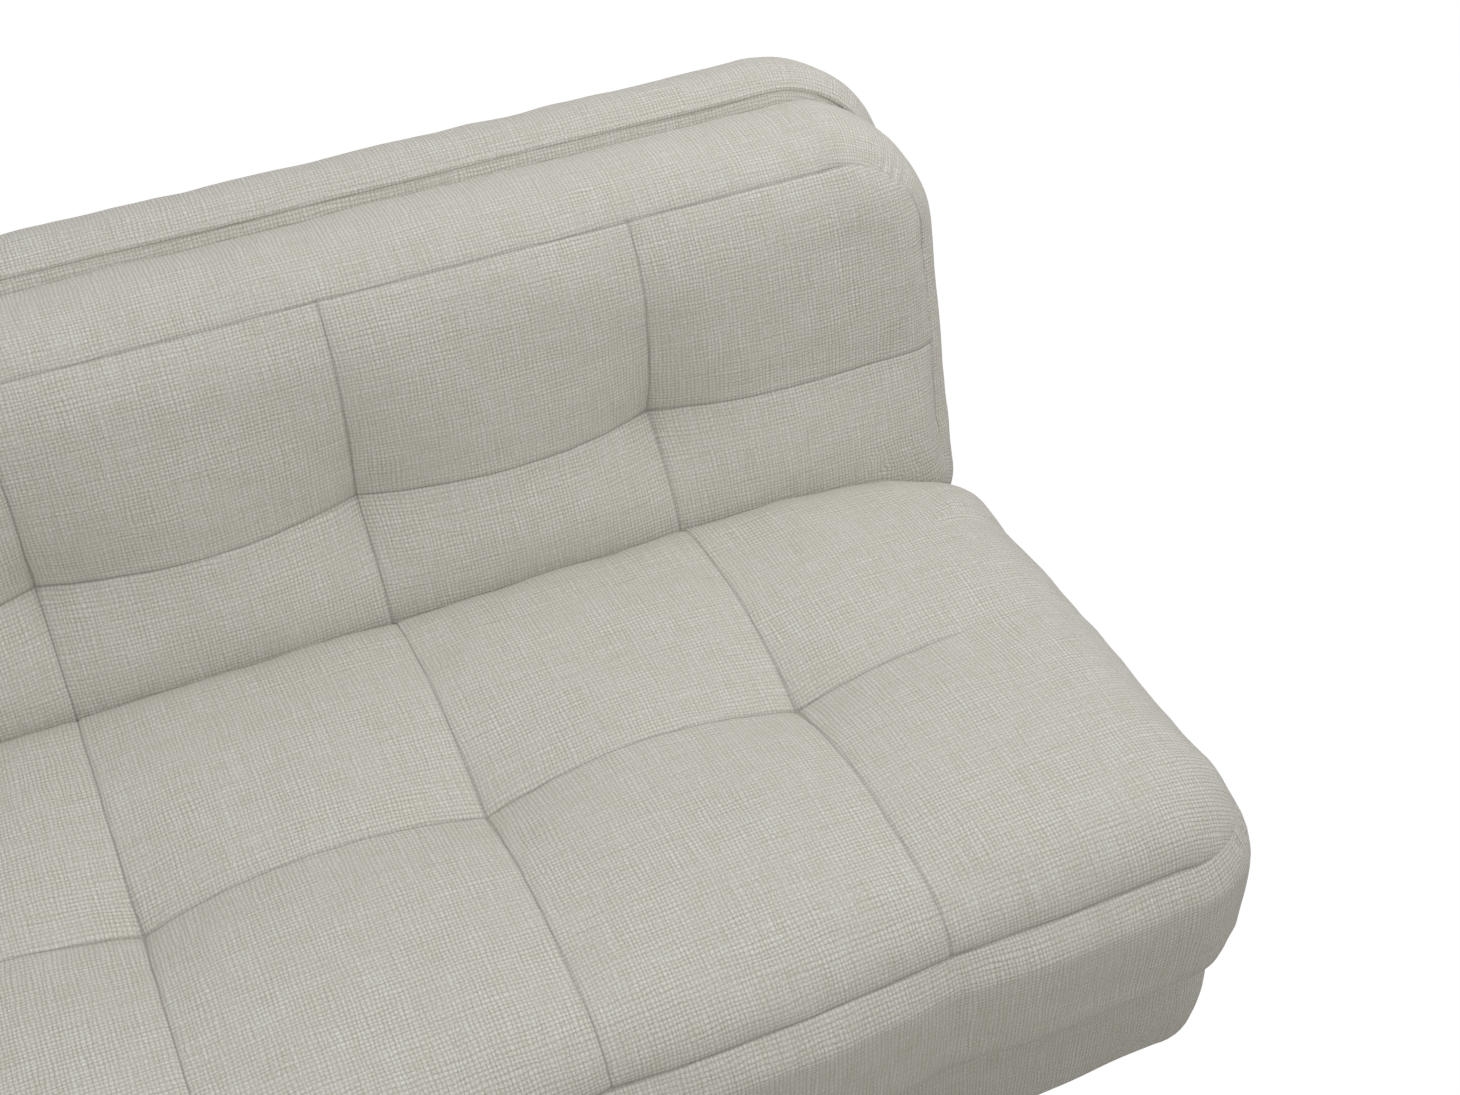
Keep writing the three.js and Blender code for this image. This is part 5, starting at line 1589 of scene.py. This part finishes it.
def floor_material(colour):
    """Pale floor that the camera sees as white, with the sofa's shadow kept."""
    material = bpy.data.materials.new("pale_floor")
    material.use_nodes = True
    wiring = Wiring(material.node_tree)
    shader = material.node_tree.nodes["Principled BSDF"]
    wiring.feed(shader.inputs["Base Color"], tinted(colour, 1.0))
    wiring.feed(shader.inputs["Roughness"], 0.9)
    wiring.feed(shader.inputs["Specular IOR Level"], 0.1)
    glow = wiring.node("ShaderNodeEmission")
    wiring.feed(glow.inputs["Strength"], 1.05)
    blend = wiring.node("ShaderNodeMixShader")
    wiring.feed(blend.inputs[0], wiring.math("MULTIPLY", seen_straight(wiring), 0.95))
    wiring.feed(blend.inputs[1], shader.outputs[0])
    wiring.feed(blend.inputs[2], glow.outputs[0])
    wiring.feed(material.node_tree.nodes["Material Output"].inputs["Surface"], blend.outputs[0])
    return material


class SOFA_OT_stage(bpy.types.Operator):
    """Sets the camera, the floor and the light"""

    bl_idname = "sofa.stage"
    bl_label = "Stage"

    def execute(self, context):
        scene = context.scene
        stage = scene.sofa_stage
        view = bpy.data.objects.new("camera", bpy.data.cameras.new("camera"))
        view.data.lens = stage.lens
        view.data.sensor_width = 36.0
        view.location = stage.camera_place
        view.rotation_euler = (RIGHT_ANGLE - stage.camera_tilt, 0.0, -stage.camera_turn)
        scene.collection.objects.link(view)
        scene.camera = view

        corners = [(-1.0, -1.0, 0.0), (1.0, -1.0, 0.0), (1.0, 1.0, 0.0), (-1.0, 1.0, 0.0)]
        floor = mesh_from_faces("floor", FLOOR_HALF * np.array(corners), [(0, 1, 2, 3)])
        floor.data.materials.append(floor_material(stage.floor_colour))

        for name, place, size, power in (
            ("top_light", stage.top_place, stage.top_size, stage.top_power),
            ("front_light", stage.front_place, stage.front_size, stage.front_power),
        ):
            lamp = bpy.data.lights.new(name, "AREA")
            lamp.size = size
            lamp.energy = power
            light = bpy.data.objects.new(name, lamp)
            light.location = place
            light.rotation_euler = Vector(place).to_track_quat("Z", "Y").to_euler()
            scene.collection.objects.link(light)

        world = bpy.data.worlds.new("studio")
        world.use_nodes = True
        scene.world = world
        wiring = Wiring(world.node_tree)
        sky = world.node_tree.nodes["Background"]
        strength = wiring.math("MULTIPLY_ADD", seen_straight(wiring), 1.0 - stage.sky_strength,
                               stage.sky_strength)
        wiring.feed(sky.inputs["Color"], (1.0, 1.0, 1.0, 1.0))
        wiring.feed(sky.inputs["Strength"], strength)
        scene.view_settings.view_transform = "Standard"
        return {"FINISHED"}


PIECE_OPERATORS = (
    SOFA_OT_stage, SOFA_OT_seat_cover, SOFA_OT_back_cover, SOFA_OT_back_shell,
    SOFA_OT_back_piping, SOFA_OT_plinth_wrap, SOFA_OT_feet, SOFA_OT_fillings,
    SOFA_OT_woodwork, SOFA_OT_hinges,
)
SETTINGS = {
    "sofa_quilting": SofaQuilting, "sofa_stuffing": SofaStuffing, "sofa_seat": SofaSeat,
    "sofa_back": SofaBack, "sofa_slot": SofaSlot, "sofa_plinth": SofaPlinth,
    "sofa_cloth": SofaCloth, "sofa_stage": SofaStage,
}


class SOFA_PT_pieces(bpy.types.Panel):
    """Lists the pieces of the sofa bed and their sizes"""

    bl_idname = "SOFA_PT_pieces"
    bl_label = "Sofa Bed"
    bl_space_type = "VIEW_3D"
    bl_region_type = "UI"
    bl_category = "Sofa Bed"

    def draw(self, context):
        for operator in PIECE_OPERATORS:
            self.layout.operator(operator.bl_idname)
        for name, settings in SETTINGS.items():
            box = self.layout.box()
            for size in settings.__annotations__:
                box.prop(getattr(context.scene, name), size)


def register():
    for settings in SETTINGS.values():
        bpy.utils.register_class(settings)
    for name, settings in SETTINGS.items():
        setattr(bpy.types.Scene, name, PointerProperty(type=settings))
    for operator in PIECE_OPERATORS:
        bpy.utils.register_class(operator)
    bpy.utils.register_class(SOFA_PT_pieces)


def unregister():
    bpy.utils.unregister_class(SOFA_PT_pieces)
    for operator in reversed(PIECE_OPERATORS):
        bpy.utils.unregister_class(operator)
    for name in SETTINGS:
        delattr(bpy.types.Scene, name)
    for settings in reversed(list(SETTINGS.values())):
        bpy.utils.unregister_class(settings)


def main():
    register()
    bpy.ops.sofa.stage()
    bpy.ops.sofa.seat_cover()
    bpy.ops.sofa.back_cover()
    bpy.ops.sofa.back_shell()
    bpy.ops.sofa.back_piping()
    bpy.ops.sofa.plinth_wrap()
    bpy.ops.sofa.feet()
    bpy.ops.sofa.fillings()
    bpy.ops.sofa.woodwork()
    bpy.ops.sofa.hinges()


if __name__ == "__main__":
    main()
